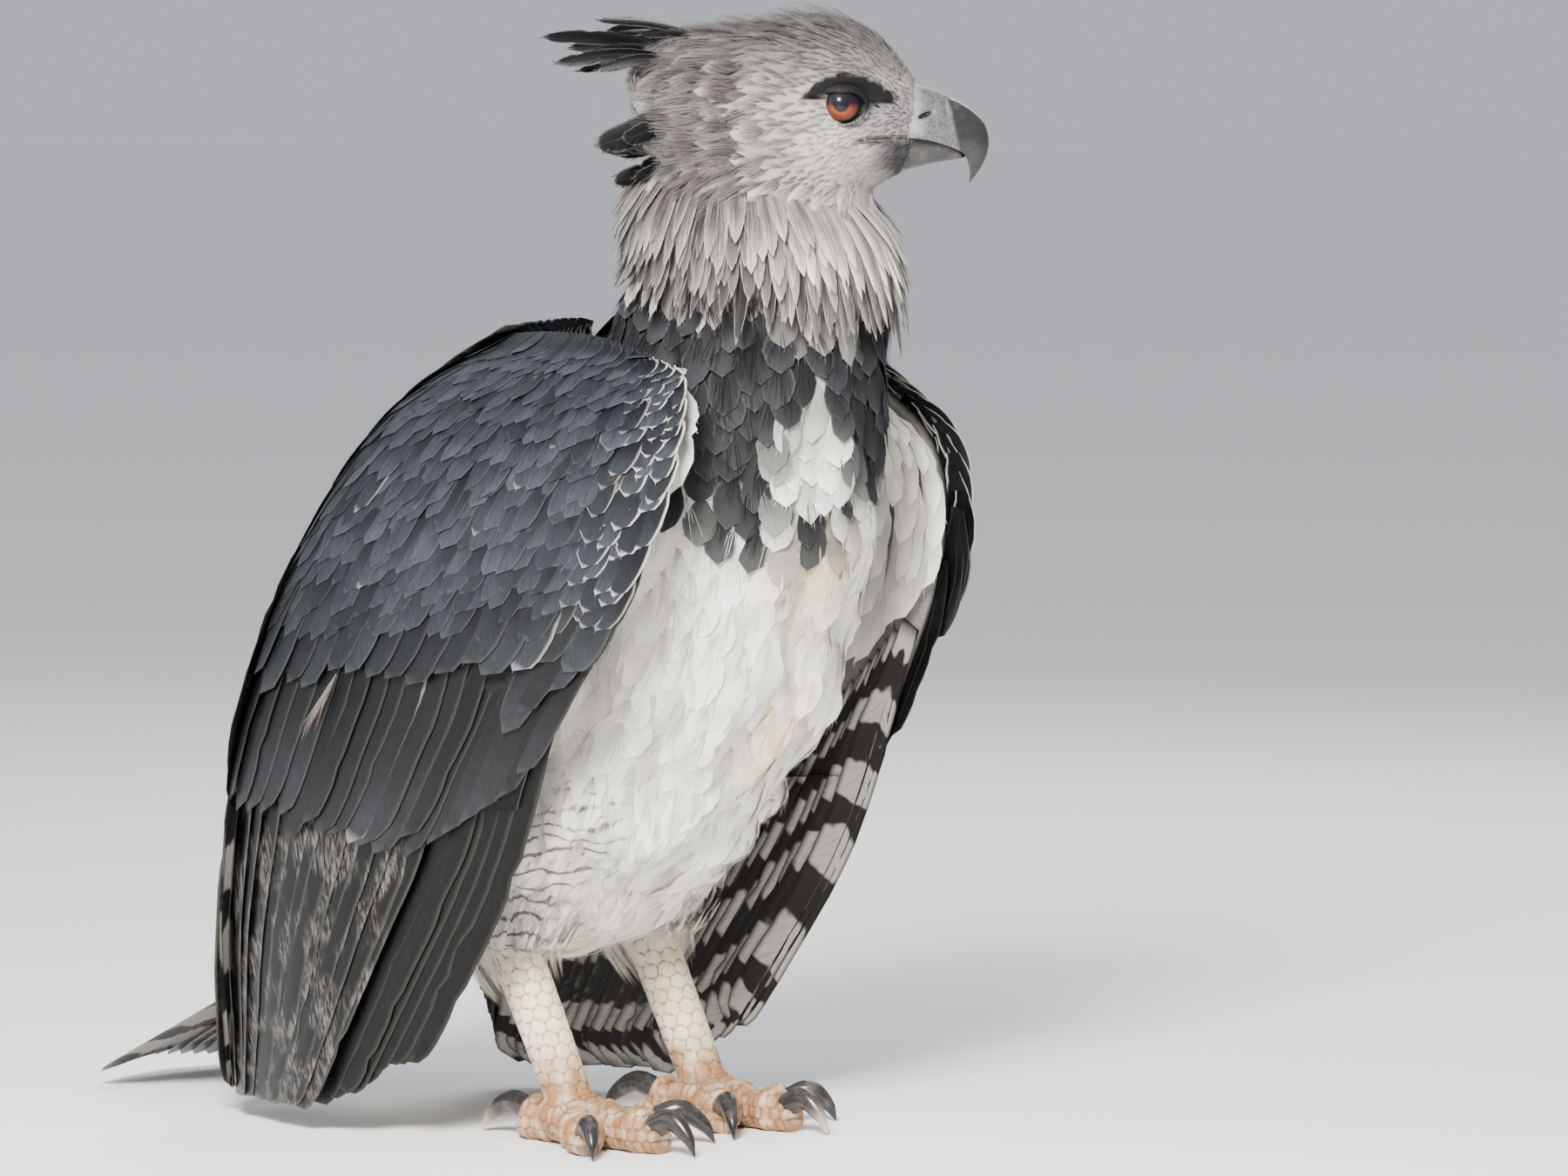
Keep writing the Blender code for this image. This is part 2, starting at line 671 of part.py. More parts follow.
def make_wing(letter, side):
    """Arm with its tiers of flight feathers and coverts, and the tertials and scapulars over the back."""
    def surface(u, v):
        return wing_point(min(max(u, 0.0), 1.0), min(max(v, 0.0), 1.0), side)

    arm = wing_slab(f"wing_{letter}", side, ARM_INSET, SEAM - ARM_INSET, 6)
    feathers = []
    for row in WING_TIERS.values():
        feathers += tier(surface, **row, flip=-side, limits=(0.0, SEAM - SEAM_GAP))
    boolean(arm, feathers, "UNION", "MANIFOLD")
    scapular = wing_slab(f"scapular_{letter}", side, SEAM + ARM_INSET, 1.0 - ARM_INSET, 2)
    feathers = []
    for row in SCAPULAR_TIERS.values():
        feathers += tier(surface, **row, flip=-side, limits=(SEAM + SEAM_GAP, 1.0))
    boolean(scapular, feathers, "UNION", "MANIFOLD")
    return arm, scapular


def tail_point(u, v):
    """The tail's upper surface: u from its right edge to its left one, v from base to tip."""
    slope = math.asin((TAIL_BASE[2] - TAIL_TIP_Z) / TAIL_LENGTH)
    back = np.array((0, math.cos(slope), -math.sin(slope)))
    up = np.array((0, math.sin(slope), math.cos(slope)))
    half = TAIL_HALF_BASE + (TAIL_HALF_TIP - TAIL_HALF_BASE) * v
    across = 2 * u - 1
    arch = TAIL_ARCH * (1 - across**2)
    return np.array(TAIL_BASE) + back * TAIL_LENGTH * v + up * arch + np.array((half * across, 0, 0))


def make_tail():
    """A short fleshy root with the tail feathers, the middle ones on top."""
    rings = []
    for v, thick in TAIL_ROOT:
        top, under = [], []
        for j in range(7):
            point, normal, _ = surface_frame(tail_point, j / 6, v)
            top.append(point + 0.1 * normal)
            under.append(point - thick * normal)
        rings.append(top + under[::-1])
    tail = loft("tail", rings)
    feathers = []
    for k in range(TAIL_FEATHERS):
        place = (k + 0.5) / TAIL_FEATHERS
        from_middle = abs(place - 0.5)
        lift = TAIL_STACK * (0.5 - from_middle)
        root = (0.5 + (place - 0.5) * 0.7, 0.05)
        tip = (place, 1.0 - TAIL_ROUNDING * from_middle**2)
        side = 1 if place > 0.5 else -1
        feathers.append(vane(tail_point, root, tip, 1.5, (lift - 0.9, lift), LONG_VANE, tilt=side * VANE_TILT))
    boolean(tail, feathers, "UNION", "MANIFOLD")
    keep_side(tail, (0, 0, 0), (0, 0, 1))
    return tail


def tube(name, path, radii, across, count=12, steps=12):
    """A round limb along a path that runs square to the across direction."""
    rings = []
    for k in range(steps + 1):
        t = k / steps
        centre = through(path, t)
        along = through(path, min(t + 0.01, 1)) - through(path, max(t - 0.01, 0))
        other = np.cross(along / np.linalg.norm(along), across)
        r = through([(v,) for v in radii], t)[0]
        rings.append([
            centre + r * (np.array(across) * math.cos(a) + other * math.sin(a))
            for a in (2 * math.pi * j / count for j in range(count))
        ])
    return loft(name, rings)


def mirrored(point, side):
    return (-side * point[0], point[1], point[2])


def make_leg(letter, side):
    """Thigh in its feathers, scaled shank, and foot with four clawed toes, parted by planes."""
    top, hip, knee, ankle, heel = (np.array(mirrored(p, side)) for p in (LEG_TOP, HIP, KNEE, ANKLE, HEEL))
    up = (knee - ankle) / np.linalg.norm(knee - ankle) + (ankle - heel) / np.linalg.norm(ankle - heel)
    up /= np.linalg.norm(up)
    above, below = ankle + 0.2 * (ankle - heel), ankle - 0.25 * (knee - ankle)
    thigh = tube(
        f"thigh_{letter}", [top, hip, knee, ankle, below], [1.0, 6.3, 4.9, 2.5, 2.0], ACROSS, 16, 11
    )
    keep_side(thigh, ankle, up)
    shank = tube(
        f"shank_{letter}", [above, ankle, heel, heel - (0, 0, 2.0)], [1.5, 1.65, 1.4, 1.5], ACROSS, 12, 9
    )
    keep_side(shank, ankle - GAP * up, -up)
    keep_side(shank, (0, 0, FOOT_TOP_Z + GAP), (0, 0, 1))
    foot = tube(
        f"foot_{letter}", [heel + (0, 0, 1.5), heel, heel + (0, 0, -1.2)], [1.4, 1.4, 1.5], ACROSS, 12, 3
    )
    toes, claws = [ball("hub", heel + (0, -0.4, -1.2), (2.0, 2.4, 1.85), 12, 8)], []
    for number, toe in TOES.items():
        toes.append(make_toe(heel, side, toe))
        claws.append(make_claw(f"claw_{letter}{number}", heel, side, toe))
    boolean(foot, toes, "UNION")
    keep_side(foot, (0, 0, 0), (0, 0, 1))
    keep_side(foot, (0, 0, FOOT_TOP_Z), (0, 0, -1))
    return thigh, shank, foot, claws


def toe_direction(side, turn):
    angle = math.radians(turn)
    return np.array((-side * math.sin(angle), -math.cos(angle), 0.0))


def make_toe(heel, side, toe):
    """A thick toe whose underside dips just below the floor, to be cut flat there."""
    ahead = toe_direction(side, toe["turn"])
    path, radii = [], []
    for along, size in ((0.0, 1.1), (0.3, 1.02), (0.55, 1.0), (0.8, 0.96), (1.0, 0.75)):
        radius = toe["thick"] * size
        path.append(np.array((heel[0], heel[1] - 0.4, radius - 0.1)) + ahead * toe["length"] * along)
        radii.append(radius)
    return tube("toe", path, radii, np.cross(ahead, (0, 0, 1)), 8, 5)


def make_claw(name, heel, side, toe):
    """A hooked claw from the toe's end down to just above the floor."""
    ahead = toe_direction(side, toe["turn"])
    start = np.array((heel[0], heel[1] - 0.4, 0.0)) + ahead * (toe["length"] - 0.5)
    reach, rise = toe["claw"] * 0.62, toe["thick"] * 1.25
    path = [
        start + (0, 0, rise),
        start + ahead * reach * 0.42 + (0, 0, rise + 0.55),
        start + ahead * reach * 0.85 + (0, 0, rise * 0.75),
        start + ahead * reach * 1.05 + (0, 0, 0.12),
    ]
    return tube(name, path, [0.75, 0.66, 0.42, 0.06], np.cross(ahead, (0, 0, 1)), 7, 6)


def stand_at_centre(objects):
    """Moves all so that the origin lies on the floor below the middle of the bounding box."""
    points = np.array([v.co for o in objects for v in o.data.vertices])
    middle = (points.min(0) + points.max(0)) / 2
    for obj in objects:
        obj.data.transform(Matrix.Translation((-middle[0], -middle[1], 0.0)))


def main():
    clear_scene()
    head, neck, mantle, breast, torso = make_flesh()
    eyes = [make_eye(letter, side) for letter, side in SIDES.items()]
    bill_upper = make_bill("bill_upper", BILL_UPPER, 13)
    nostrils = [
        ball("nostril", head_to_bird((NOSTRIL[0], side * NOSTRIL[1], NOSTRIL[2])), (0.42, 0.42, 0.2), 8, 6)
        for side in SIDES.values()
    ]
    boolean(bill_upper, nostrils, "DIFFERENCE")
    bill_lower = make_bill("bill_lower", BILL_LOWER, 8)
    cut_clear(bill_lower, [bill_upper])
    cut_clear(head, [bill_upper, bill_lower, *eyes])
    finished = {"plumage_grey": [head], "horn": [bill_upper, bill_lower], "eye": eyes}
    make_ruff(neck)
    finished["plumage_grey"].append(neck)
    finished["plumage_slate"] = [mantle, breast]
    finished["plumage_white"] = [torso]
    finished["scaled_skin"] = []
    flesh = [torso, breast, mantle, neck]
    boolean(head, [plume(*feather) for feather in CREST], "UNION", "MANIFOLD")
    tail = make_tail()
    cut_clear(tail, [torso, mantle])
    finished["plumage_slate"].append(tail)
    for letter, side in SIDES.items():
        wing, scapular = make_wing(letter, side)
        cut_clear(wing, flesh)
        cut_clear(scapular, [*flesh, wing])
        thigh, shank, foot, claws = make_leg(letter, side)
        cut_clear(thigh, [torso, mantle])
        for claw in claws:
            cut_clear(claw, [foot])
        finished["plumage_slate"] += [wing, scapular]
        finished["plumage_white"].append(thigh)
        finished["scaled_skin"] += [shank, foot]
        finished["horn"] += claws
    harpy = bpy.data.collections.new("harpy_eagle")
    bpy.context.scene.collection.children.link(harpy)
    for name, objects in finished.items():
        material = make_material(name)
        for obj in objects:
            obj.data.materials.clear()
            obj.data.materials.append(material)
            for holder in obj.users_collection:
                holder.objects.unlink(obj)
            harpy.objects.link(obj)
    stand_at_centre([o for objects in finished.values() for o in objects])


main()
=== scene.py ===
"""Looks of the standing harpy eagle: skin, feathers, eyes, bill, scaled legs and claws over its frame.

The tables are in centimetres, in the part's own layout: the bird faces -Y, its left is +X and the floor is
Z = 0.
"""

import math

import bmesh
import bpy
import numpy as np
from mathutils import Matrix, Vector, kdtree
from mathutils.bvhtree import BVHTree


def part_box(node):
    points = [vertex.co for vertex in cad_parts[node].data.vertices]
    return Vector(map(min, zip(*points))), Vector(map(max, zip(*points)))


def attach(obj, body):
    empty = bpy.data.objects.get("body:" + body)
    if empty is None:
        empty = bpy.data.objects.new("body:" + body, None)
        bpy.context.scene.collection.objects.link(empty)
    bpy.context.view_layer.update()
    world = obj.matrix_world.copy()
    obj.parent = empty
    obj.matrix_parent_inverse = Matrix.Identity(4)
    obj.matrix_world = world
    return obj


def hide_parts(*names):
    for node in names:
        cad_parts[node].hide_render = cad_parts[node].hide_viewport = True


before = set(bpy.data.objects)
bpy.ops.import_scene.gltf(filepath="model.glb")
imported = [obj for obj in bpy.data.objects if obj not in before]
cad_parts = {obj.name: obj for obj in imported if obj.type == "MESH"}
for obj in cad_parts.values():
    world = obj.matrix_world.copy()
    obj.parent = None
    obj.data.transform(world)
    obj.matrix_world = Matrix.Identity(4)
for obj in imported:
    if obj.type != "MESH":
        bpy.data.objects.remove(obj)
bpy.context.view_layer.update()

CM = 0.01
SIDES = {"R": -1, "L": 1}
UNWRAP_ANGLE = math.radians(66)
UNWRAP_MARGIN = 0.002
SKIN_VOXEL = 0.0031
FOOT_VOXEL = 0.00115
random = np.random.default_rng(7)

# The photograph's view: the camera looks along this azimuth and elevation.
CAMERA_AZIMUTH = -50.0
CAMERA_ELEVATION = 4.0
CAMERA_DISTANCE = 5.0
PHOTO_SIZE = (1800, 1350)
PHOTO_PIXELS_PER_METRE = 1760.0
PHOTO_ORIGIN = (735, 1300)

# Stations of the trunk and neck, tail base first: belly (y, z), back (y, z), half width.
TRUNK = [
    ((13.5, 13.5), (17.8, 18.6), 3.8),
    ((9.0, 10.6), (17.0, 23.0), 5.6),
    ((2.5, 11.8), (15.0, 28.5), 7.7),
    ((-4.0, 15.5), (13.0, 34.0), 9.6),
    ((-9.5, 21.5), (10.6, 39.0), 10.2),
    ((-13.6, 28.0), (8.0, 43.5), 10.4),
    ((-16.4, 35.0), (5.0, 47.5), 10.2),
    ((-17.8, 42.0), (2.0, 51.0), 9.6),
    ((-18.2, 48.0), (-1.0, 54.4), 8.9),
    ((-18.4, 53.5), (-2.6, 57.4), 8.4),
    ((-18.0, 58.0), (-2.2, 60.4), 8.0),
    ((-16.4, 61.8), (-3.0, 63.6), 6.8),
    ((-13.6, 64.6), (-6.4, 65.4), 4.2),
]
SHOULDER = (-8.8, -4.4, 46.2)
SHOULDER_RADII = (3.8, 5.6, 4.6)

# The head turns about its own centre: local x runs out along the bill, y to its left, z up.
HEAD_CENTRE = (1.0, -11.4, 66.75)
HEAD_TURN = 40.0
# Stations of the head from nape to bill base: x, top z, bottom z, half width.
HEAD = [
    (-9.3, 2.2, -1.0, 1.6),
    (-8.6, 3.9, -4.6, 3.4),
    (-7.2, 4.9, -6.6, 4.8),
    (-5.0, 5.5, -7.8, 5.8),
    (-2.0, 5.9, -8.4, 6.2),
    (1.0, 6.05, -8.2, 5.7),
    (3.0, 5.85, -7.2, 4.9),
    (4.8, 5.3, -5.8, 4.15),
    (6.3, 4.3, -4.75, 3.4),
    (7.4, 3.05, -4.2, 2.65),
    (8.2, 1.9, -3.4, 2.05),
    (8.8, 0.9, -2.2, 1.3),
]
EYE = (3.6, 3.45, 0.28)
PART_EYE = (3.75, -3.45, 0.9)
EYE_RADIUS = 1.45
BROW = (4.2, 3.9, 2.0)

# Rails run down the right wing from its top edge to the feather tips, leading edge first.
RAILS = [
    [(-11.5, -12.5, 50.5), (-14.6, -15.0, 45.5), (-16.0, -12.0, 36.5), (-16.2, -6.5, 27.0),
     (-15.2, -1.9, 17.6), (-14.0, 5.4, 8.3), (-13.2, 10.6, 2.4)],
    [(-10.5, -6.0, 52.3), (-16.4, -6.0, 45.5), (-18.2, -2.5, 36.5), (-18.2, 2.6, 26.5),
     (-16.8, 7.6, 16.5), (-15.0, 13.0, 7.0), (-14.0, 16.0, 1.6)],
    [(-8.8, 0.0, 52.6), (-15.8, 2.5, 46.2), (-18.3, 7.0, 37.0), (-18.0, 12.0, 26.5),
     (-16.4, 16.5, 15.5), (-14.0, 20.0, 6.0), (-12.8, 21.6, 1.3)],
    [(-7.0, 4.6, 52.4), (-12.8, 10.2, 46.8), (-15.0, 16.2, 37.4), (-15.0, 21.2, 26.5),
     (-13.6, 24.2, 15.0), (-11.6, 26.0, 6.0), (-10.6, 26.6, 1.3)],
    [(-2.4, 2.4, 53.2), (-2.4, 7.2, 46.4), (-2.8, 11.2, 39.2), (-3.6, 15.2, 30.6),
     (-5.6, 21.0, 20.6), (-7.6, 26.2, 9.4), (-8.4, 27.8, 1.6)],
]
LEFT_SWING = 0.11
LEFT_FLARE = 0.03
LEFT_DRAW = 2.6
SHOULDER_Z = 50.0

TAIL_BASE = (0.0, 15.6, 16.6)
TAIL_LENGTH = 33.0
TAIL_TIP_Z = 0.35
TAIL_HALF_BASE = 3.4
TAIL_HALF_TIP = 6.6
TAIL_ARCH = 0.5
TAIL_COUNT = 12

# Right leg; the left one is its mirror image.
LEG_TOP = (-5.0, -2.0, 31.0)
HIP = (-6.2, 0.0, 25.0)
KNEE = (-6.6, 3.2, 18.0)
ANKLE = (-6.6, 5.2, 12.6)
HEEL = (-6.6, 0.4, 3.0)
# Radii of the thigh from its top to below the ankle, and of the shank from above the ankle to the floor.
THIGH_RADII = [1.0, 6.3, 4.9, 2.5, 2.2]
SHANK_RADII = [1.45, 1.6, 1.45, 1.5]


def spline(points, t):
    """Catmull-Rom curve through points, (k, d) or (k, n, d), at each of n values of t from 0 to 1."""
    points = np.asarray(points, float)
    t = np.atleast_1d(np.asarray(t, float))
    last = len(points) - 1
    at = np.clip(t, 0.0, 1.0) * last
    i = np.minimum(at.astype(int), last - 1)
    f = (at - i)[:, None]
    ends = [2 * points[:1] - points[1:2], points, 2 * points[-1:] - points[-2:-1]]
    padded = np.concatenate(ends)
    rows = np.arange(len(t))
    before, a, b, after = (
        padded[i + step] if padded.ndim == 2 else padded[i + step, rows] for step in range(4)
    )
    return 0.5 * (
        2 * a
        + (b - before) * f
        + (2 * before - 5 * a + 4 * b - after) * f**2
        + (3 * a - before - 3 * b + after) * f**3
    )


def unit(vectors):
    return vectors / np.maximum(np.linalg.norm(vectors, axis=-1, keepdims=True), 1e-9)


def smooth_step(low, high, value):
    f = np.clip((np.asarray(value, float) - low) / (high - low), 0.0, 1.0)
    return f * f * (3 - 2 * f)


def head_to_bird(points):
    """Points of the head's own frame, in the bird's frame."""
    points = np.atleast_2d(np.asarray(points, float))
    turn = math.radians(HEAD_TURN - 90)
    forward = np.array((math.cos(turn), math.sin(turn), 0.0))
    left = np.array((-math.sin(turn), math.cos(turn), 0.0))
    up = np.array((0.0, 0.0, 1.0))
    return np.array(HEAD_CENTRE) + points[:, :1] * forward + points[:, 1:2] * left + points[:, 2:3] * up


def bird_to_head(points):
    points = np.atleast_2d(np.asarray(points, float)) - np.array(HEAD_CENTRE)
    turn = math.radians(HEAD_TURN - 90)
    forward = np.array((math.cos(turn), math.sin(turn), 0.0))
    left = np.array((-math.sin(turn), math.cos(turn), 0.0))
    return np.stack([points @ forward, points @ left, points[:, 2]], axis=1)


# The part was moved to stand over its origin, so the eye shows by how much.
low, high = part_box("eye_R")
SHIFT = (np.array(low) + np.array(high)) / 2 - CM * head_to_bird(PART_EYE)[0]


def to_part(points):
    """From centimetres in the bird's layout to metres in the part's frame."""
    return np.asarray(points, float) * CM + SHIFT


class Look:
    """A new material, with short ways to add the nodes that colour it."""

    def __init__(self, name):
        self.material = bpy.data.materials.new(name)
        self.material.use_nodes = True
        self.tree = self.material.node_tree
        self.shader = self.tree.nodes["Principled BSDF"]

    def put(self, value, socket):
        """Links an output to the socket, or sets the socket's number or colour."""
        if isinstance(value, bpy.types.NodeSocket):
            self.tree.links.new(value, socket)
        elif isinstance(value, tuple):
            socket.default_value = (*value, 1.0)
        else:
            socket.default_value = value

    def node(self, kind, *values, **settings):
        """A node with values for its first inputs; a keyword is a setting or the name of another input."""
        made = self.tree.nodes.new(kind)
        for socket, value in zip(made.inputs, values):
            self.put(value, socket)
        for key, value in settings.items():
            if hasattr(made, key):
                setattr(made, key, value)
            else:
                self.put(value, made.inputs[key.replace("_", " ")])
        return made

    def surface(self, **values):
        """Values for the shader's own inputs."""
        for key, value in values.items():
            self.put(value, self.shader.inputs[key.replace("_", " ")])

    def value(self, name):
        return self.node("ShaderNodeAttribute", attribute_name=name).outputs["Fac"]

    def colour(self, name):
        return self.node("ShaderNodeAttribute", attribute_name=name).outputs["Color"]

    def place(self):
        return self.node("ShaderNodeTexCoord").outputs["Object"]

    def math(self, operation, a, b=0.0, *more):
        return self.node("ShaderNodeMath", a, b, *more, operation=operation).outputs[0]

    def times(self, a, b):
        return self.math("MULTIPLY", a, b)

    def scaled(self, value, factor, offset):
        return self.math("MULTIPLY_ADD", value, factor, offset)

    def ramp(self, value, low, high):
        """Maps low..high to 0..1, clamped and eased."""
        made = self.node("ShaderNodeMapRange", value, low, high, interpolation_type="SMOOTHSTEP")
        return made.outputs[0]

    def vector(self, x, y, z):
        return self.node("ShaderNodeCombineXYZ", x, y, z).outputs[0]

    def mix(self, share, low, high, blend_type="MIX"):
        made = self.node("ShaderNodeMix", share, data_type="RGBA", blend_type=blend_type)
        self.put(low, made.inputs[6])
        self.put(high, made.inputs[7])
        return made.outputs[2]

    def shade(self, colour, tone):
        """The colour, darker or lighter by a tone round 1."""
        return self.mix(1.0, colour, self.vector(tone, tone, tone), "MULTIPLY")

    def noise(self, vector, scale, detail=2.0, roughness=0.5, distortion=0.0):
        made = self.node("ShaderNodeTexNoise", Vector=vector, Scale=scale, Detail=detail,
                         Roughness=roughness, Distortion=distortion)
        return made.outputs["Fac"]

    def grains(self, vector, scale):
        return self.node("ShaderNodeTexVoronoi", Vector=vector, Scale=scale).outputs["Distance"]

    def bump(self, height, strength, distance):
        made = self.node("ShaderNodeBump", Strength=strength, Distance=distance, Height=height)
        self.surface(Normal=made.outputs[0])


def plain_material(name, colour, roughness):
    look = Look(name)
    look.surface(Base_Color=colour, Roughness=roughness)
    return look.material


def make_vane_material(name, shaft_strength, contrast, roughness):
    """Broad feathers: barbs that slant off a shaft, pale edges, mottled bars, a paler underside, and painted
    shade that darkens each feather towards its root.
    """
    look = Look(name)
    vane = look.node("ShaderNodeUVMap", uv_map="Vane").outputs[0]
    across, down, _ = look.node("ShaderNodeSeparateXYZ", vane).outputs
    side = look.scaled(across, 2.0, -1.0)
    out = look.math("ABSOLUTE", side)
    length, seed = look.value("length"), look.value("seed")
    along = look.times(down, length)
    outward = look.times(out, look.value("width"))
    slant = look.math("SUBTRACT", along, look.times(outward, 1.3))
    offset = look.times(seed, 57.0)
    barbs = look.noise(look.vector(look.times(slant, 9.0), look.times(outward, 0.7), offset), 1.0, 3.0, 0.65)
    blotch = look.noise(look.vector(along, outward, offset), 0.5)
    tint = look.colour("tint")
    streak = look.scaled(barbs, 1.6 * contrast, 1.0 - 0.8 * contrast)
    cloud = look.scaled(blotch, 1.2 * contrast, 1.0 - 0.6 * contrast)
    # Painted shade: each feather is darker towards its root and lighter at its tip, as where the row above
    # overlaps it.
    root = look.scaled(look.ramp(down, 0.45, 0.95), 1.1 * contrast, 1.0 - 0.75 * contrast)
    base = look.shade(tint, look.times(look.times(streak, cloud), root))

    bars = look.value("bars")
    mottle = look.noise(look.vector(look.times(along, 0.33), look.times(outward, 0.5), offset), 1.0, 1.0)
    specks = look.noise(look.vector(look.times(slant, 2.6), look.times(side, 3.0), offset), 1.0, 4.0, 0.7)
    broken = look.times(look.ramp(mottle, 0.42, 0.6), look.ramp(specks, 0.42, 0.66))
    base = look.mix(look.times(broken, bars), base, MOTTLE_GREY)

    edge = look.value("edge")
    near_edge = look.math("MAXIMUM", look.ramp(out, 0.8, 0.97), look.ramp(down, 0.93, 0.99))
    base = look.mix(look.times(near_edge, edge), base, EDGE_PALE)
    shaft = look.times(look.ramp(outward, 0.07, 0.03), shaft_strength)
    base = thigh_bars(look, look.mix(shaft, base, SHAFT_BLACK))

    under, pale = look.value("under"), look.value("underpale")
    wave = look.node("ShaderNodeTexWave", wave_type="BANDS", bands_direction="X", Scale=0.055,
                     Distortion=5.0, Detail=4.0, Detail_Scale=1.8, Detail_Roughness=0.65)
    look.put(look.vector(along, outward, seed), wave.inputs["Vector"])
    bands = look.ramp(wave.outputs["Fac"], 0.42, 0.62)
    beneath = look.shade(look.mix(bands, UNDER_PALE, UNDER_BAND), streak)
    base = look.mix(look.times(under, pale), base, beneath)
    look.surface(Base_Color=base, Roughness=roughness, Specular_IOR_Level=0.2)
    look.bump(barbs, 0.35, 0.0006)
    return look.material


def thigh_bars(look, base):
    """Fine wavy dark bars across the thigh, where the feathers carry them."""
    place, shown = look.place(), look.value("legbars")
    wave = look.node("ShaderNodeTexWave", wave_type="BANDS", bands_direction="Z", Vector=place, Scale=29.0,
                     Distortion=8.0, Detail=2.0, Detail_Scale=1.2)
    return look.mix(look.times(look.ramp(wave.outputs["Fac"], 0.8, 0.98), shown), base, THIGH_BAR)


def make_skin_material():
    """The skin below the feathers, with the coat's own markings."""
    look = Look("skin")
    tint = look.colour("tint")
    grain = look.noise(look.place(), 420.0, 4.0, 0.7)
    base = look.shade(tint, look.scaled(grain, 0.8, 0.35))
    look.surface(Base_Color=base, Roughness=0.85, Specular_IOR_Level=0.2)
    look.bump(grain, 0.6, 0.0008)
    return look.material


def trunk_surface(u, v):
    """The trunk: u goes once round from the back over the bird's left, v from tail base to head."""
    flat = [(*belly, *back, width) for belly, back, width in TRUNK]
    station = spline(flat, v)
    belly, back, width = station[:, 0:2], station[:, 2:4], station[:, 4]
    angle = 2 * np.pi * np.asarray(u)
    c, s = np.cos(angle), np.sin(angle)
    across = np.sign(s) * np.abs(s) ** (2 / 2.3)
    along = np.sign(c) * np.abs(c) ** (2 / 2.3)
    yz = (belly + back) / 2 + (back - belly) / 2 * along[:, None]
    return np.stack([width * across, yz[:, 0], yz[:, 1]], axis=1)


def wing_surface(side):
    """The wing's outer face: u from leading edge to rear edge, v from top edge to the feather tips."""
    rails = [np.array(rail, float) for rail in RAILS]

    def surface(u, v):
        u = np.clip(u, -0.05, 1.05)
        rail_points = np.stack([spline(rail, v) for rail in rails])
        points = spline(rail_points, u)
        beyond = np.where(u < 0, u, np.where(u > 1, u - 1, 0.0))[:, None]
        edge = np.where(beyond < 0, rail_points[1] - rail_points[0], rail_points[-1] - rail_points[-2])
        points = points + beyond * 4 * edge
        if side > 0:
            drop = np.maximum(0.0, SHOULDER_Z - points[:, 2])
            drawn = LEFT_DRAW * np.exp(-(((points[:, 2] - SHOULDER_Z) / 7) ** 2))
            points = points.copy()
            points[:, 0] = -points[:, 0] + LEFT_FLARE * drop
            points[:, 1] += drawn - LEFT_SWING * drop
        return points

    return surface


def tail_surface(u, v):
    """The tail's upper face: u from its right edge to its left one, v from base to tip."""
    slope = math.asin((TAIL_BASE[2] - TAIL_TIP_Z) / TAIL_LENGTH)
    back = np.array((0, math.cos(slope), -math.sin(slope)))
    up = np.array((0, math.sin(slope), math.cos(slope)))
    half = TAIL_HALF_BASE + (TAIL_HALF_TIP - TAIL_HALF_BASE) * v
    across = 2 * u - 1
    arch = TAIL_ARCH * (1 - across**2)
    points = np.array(TAIL_BASE) + back * (TAIL_LENGTH * v)[:, None] + up * arch[:, None]
    points[:, 0] += half * across
    return points


def surface_normals(surface, u, v):
    """Normals that point out of the bird's right side for the right wing, and up for the tail."""
    step = 0.01
    across = surface(u + step, v) - surface(u - step, v)
    down = surface(u, np.minimum(v + step, 1.0)) - surface(u, np.maximum(v - step, 0.0))
    return unit(np.cross(across, down))


def add_mesh(name, points, faces, material):
    """A mesh object from points in centimetres and faces: rows of one size, or all corners with the sizes."""
    if isinstance(faces, tuple):
        corners, sizes = faces
    else:
        faces = np.asarray(faces)
        corners, sizes = faces.ravel(), np.full(len(faces), faces.shape[1])
    mesh = bpy.data.meshes.new(name)
    mesh.vertices.add(len(points))
    mesh.vertices.foreach_set("co", to_part(points).astype(np.float32).ravel())
    mesh.loops.add(len(corners))
    mesh.loops.foreach_set("vertex_index", corners.astype(np.int32))
    mesh.polygons.add(len(sizes))
    starts = np.concatenate([[0], np.cumsum(sizes)[:-1]])
    mesh.polygons.foreach_set("loop_start", starts.astype(np.int32))
    mesh.update(calc_edges=True)
    mesh.shade_smooth()
    mesh.materials.append(material)
    obj = bpy.data.objects.new(name, mesh)
    bpy.context.scene.collection.objects.link(obj)
    return obj


def set_uv(mesh, name, uv):
    """A UV map from one place per vertex."""
    corners = np.empty(len(mesh.loops), np.int32)
    mesh.loops.foreach_get("vertex_index", corners)
    layer = mesh.uv_layers.new(name=name)
    layer.data.foreach_set("uv", uv[corners].astype(np.float32).ravel())


def set_values(mesh, **values):
    """Attributes by name, from one number per point or one linear colour per point."""
    for name, value in values.items():
        value = np.asarray(value, np.float32)
        if value.ndim == 1:
            mesh.attributes.new(name, "FLOAT", "POINT").data.foreach_set("value", value)
            continue
        rgba = np.ones((len(value), 4), np.float32)
        rgba[:, :3] = value
        mesh.color_attributes.new(name, "FLOAT_COLOR", "POINT").data.foreach_set("color", rgba.ravel())


def ring_angles(count):
    return 2 * np.pi * np.arange(count) / count


def tint_of(colour, count):
    """One colour for each of a number of points or feathers."""
    return np.tile(colour, (count, 1))


def points_of(obj):
    """The object's points in centimetres, in the bird's layout."""
    co = np.empty(len(obj.data.vertices) * 3, np.float32)
    obj.data.vertices.foreach_get("co", co)
    return (co.reshape(-1, 3).astype(float) - SHIFT) / CM


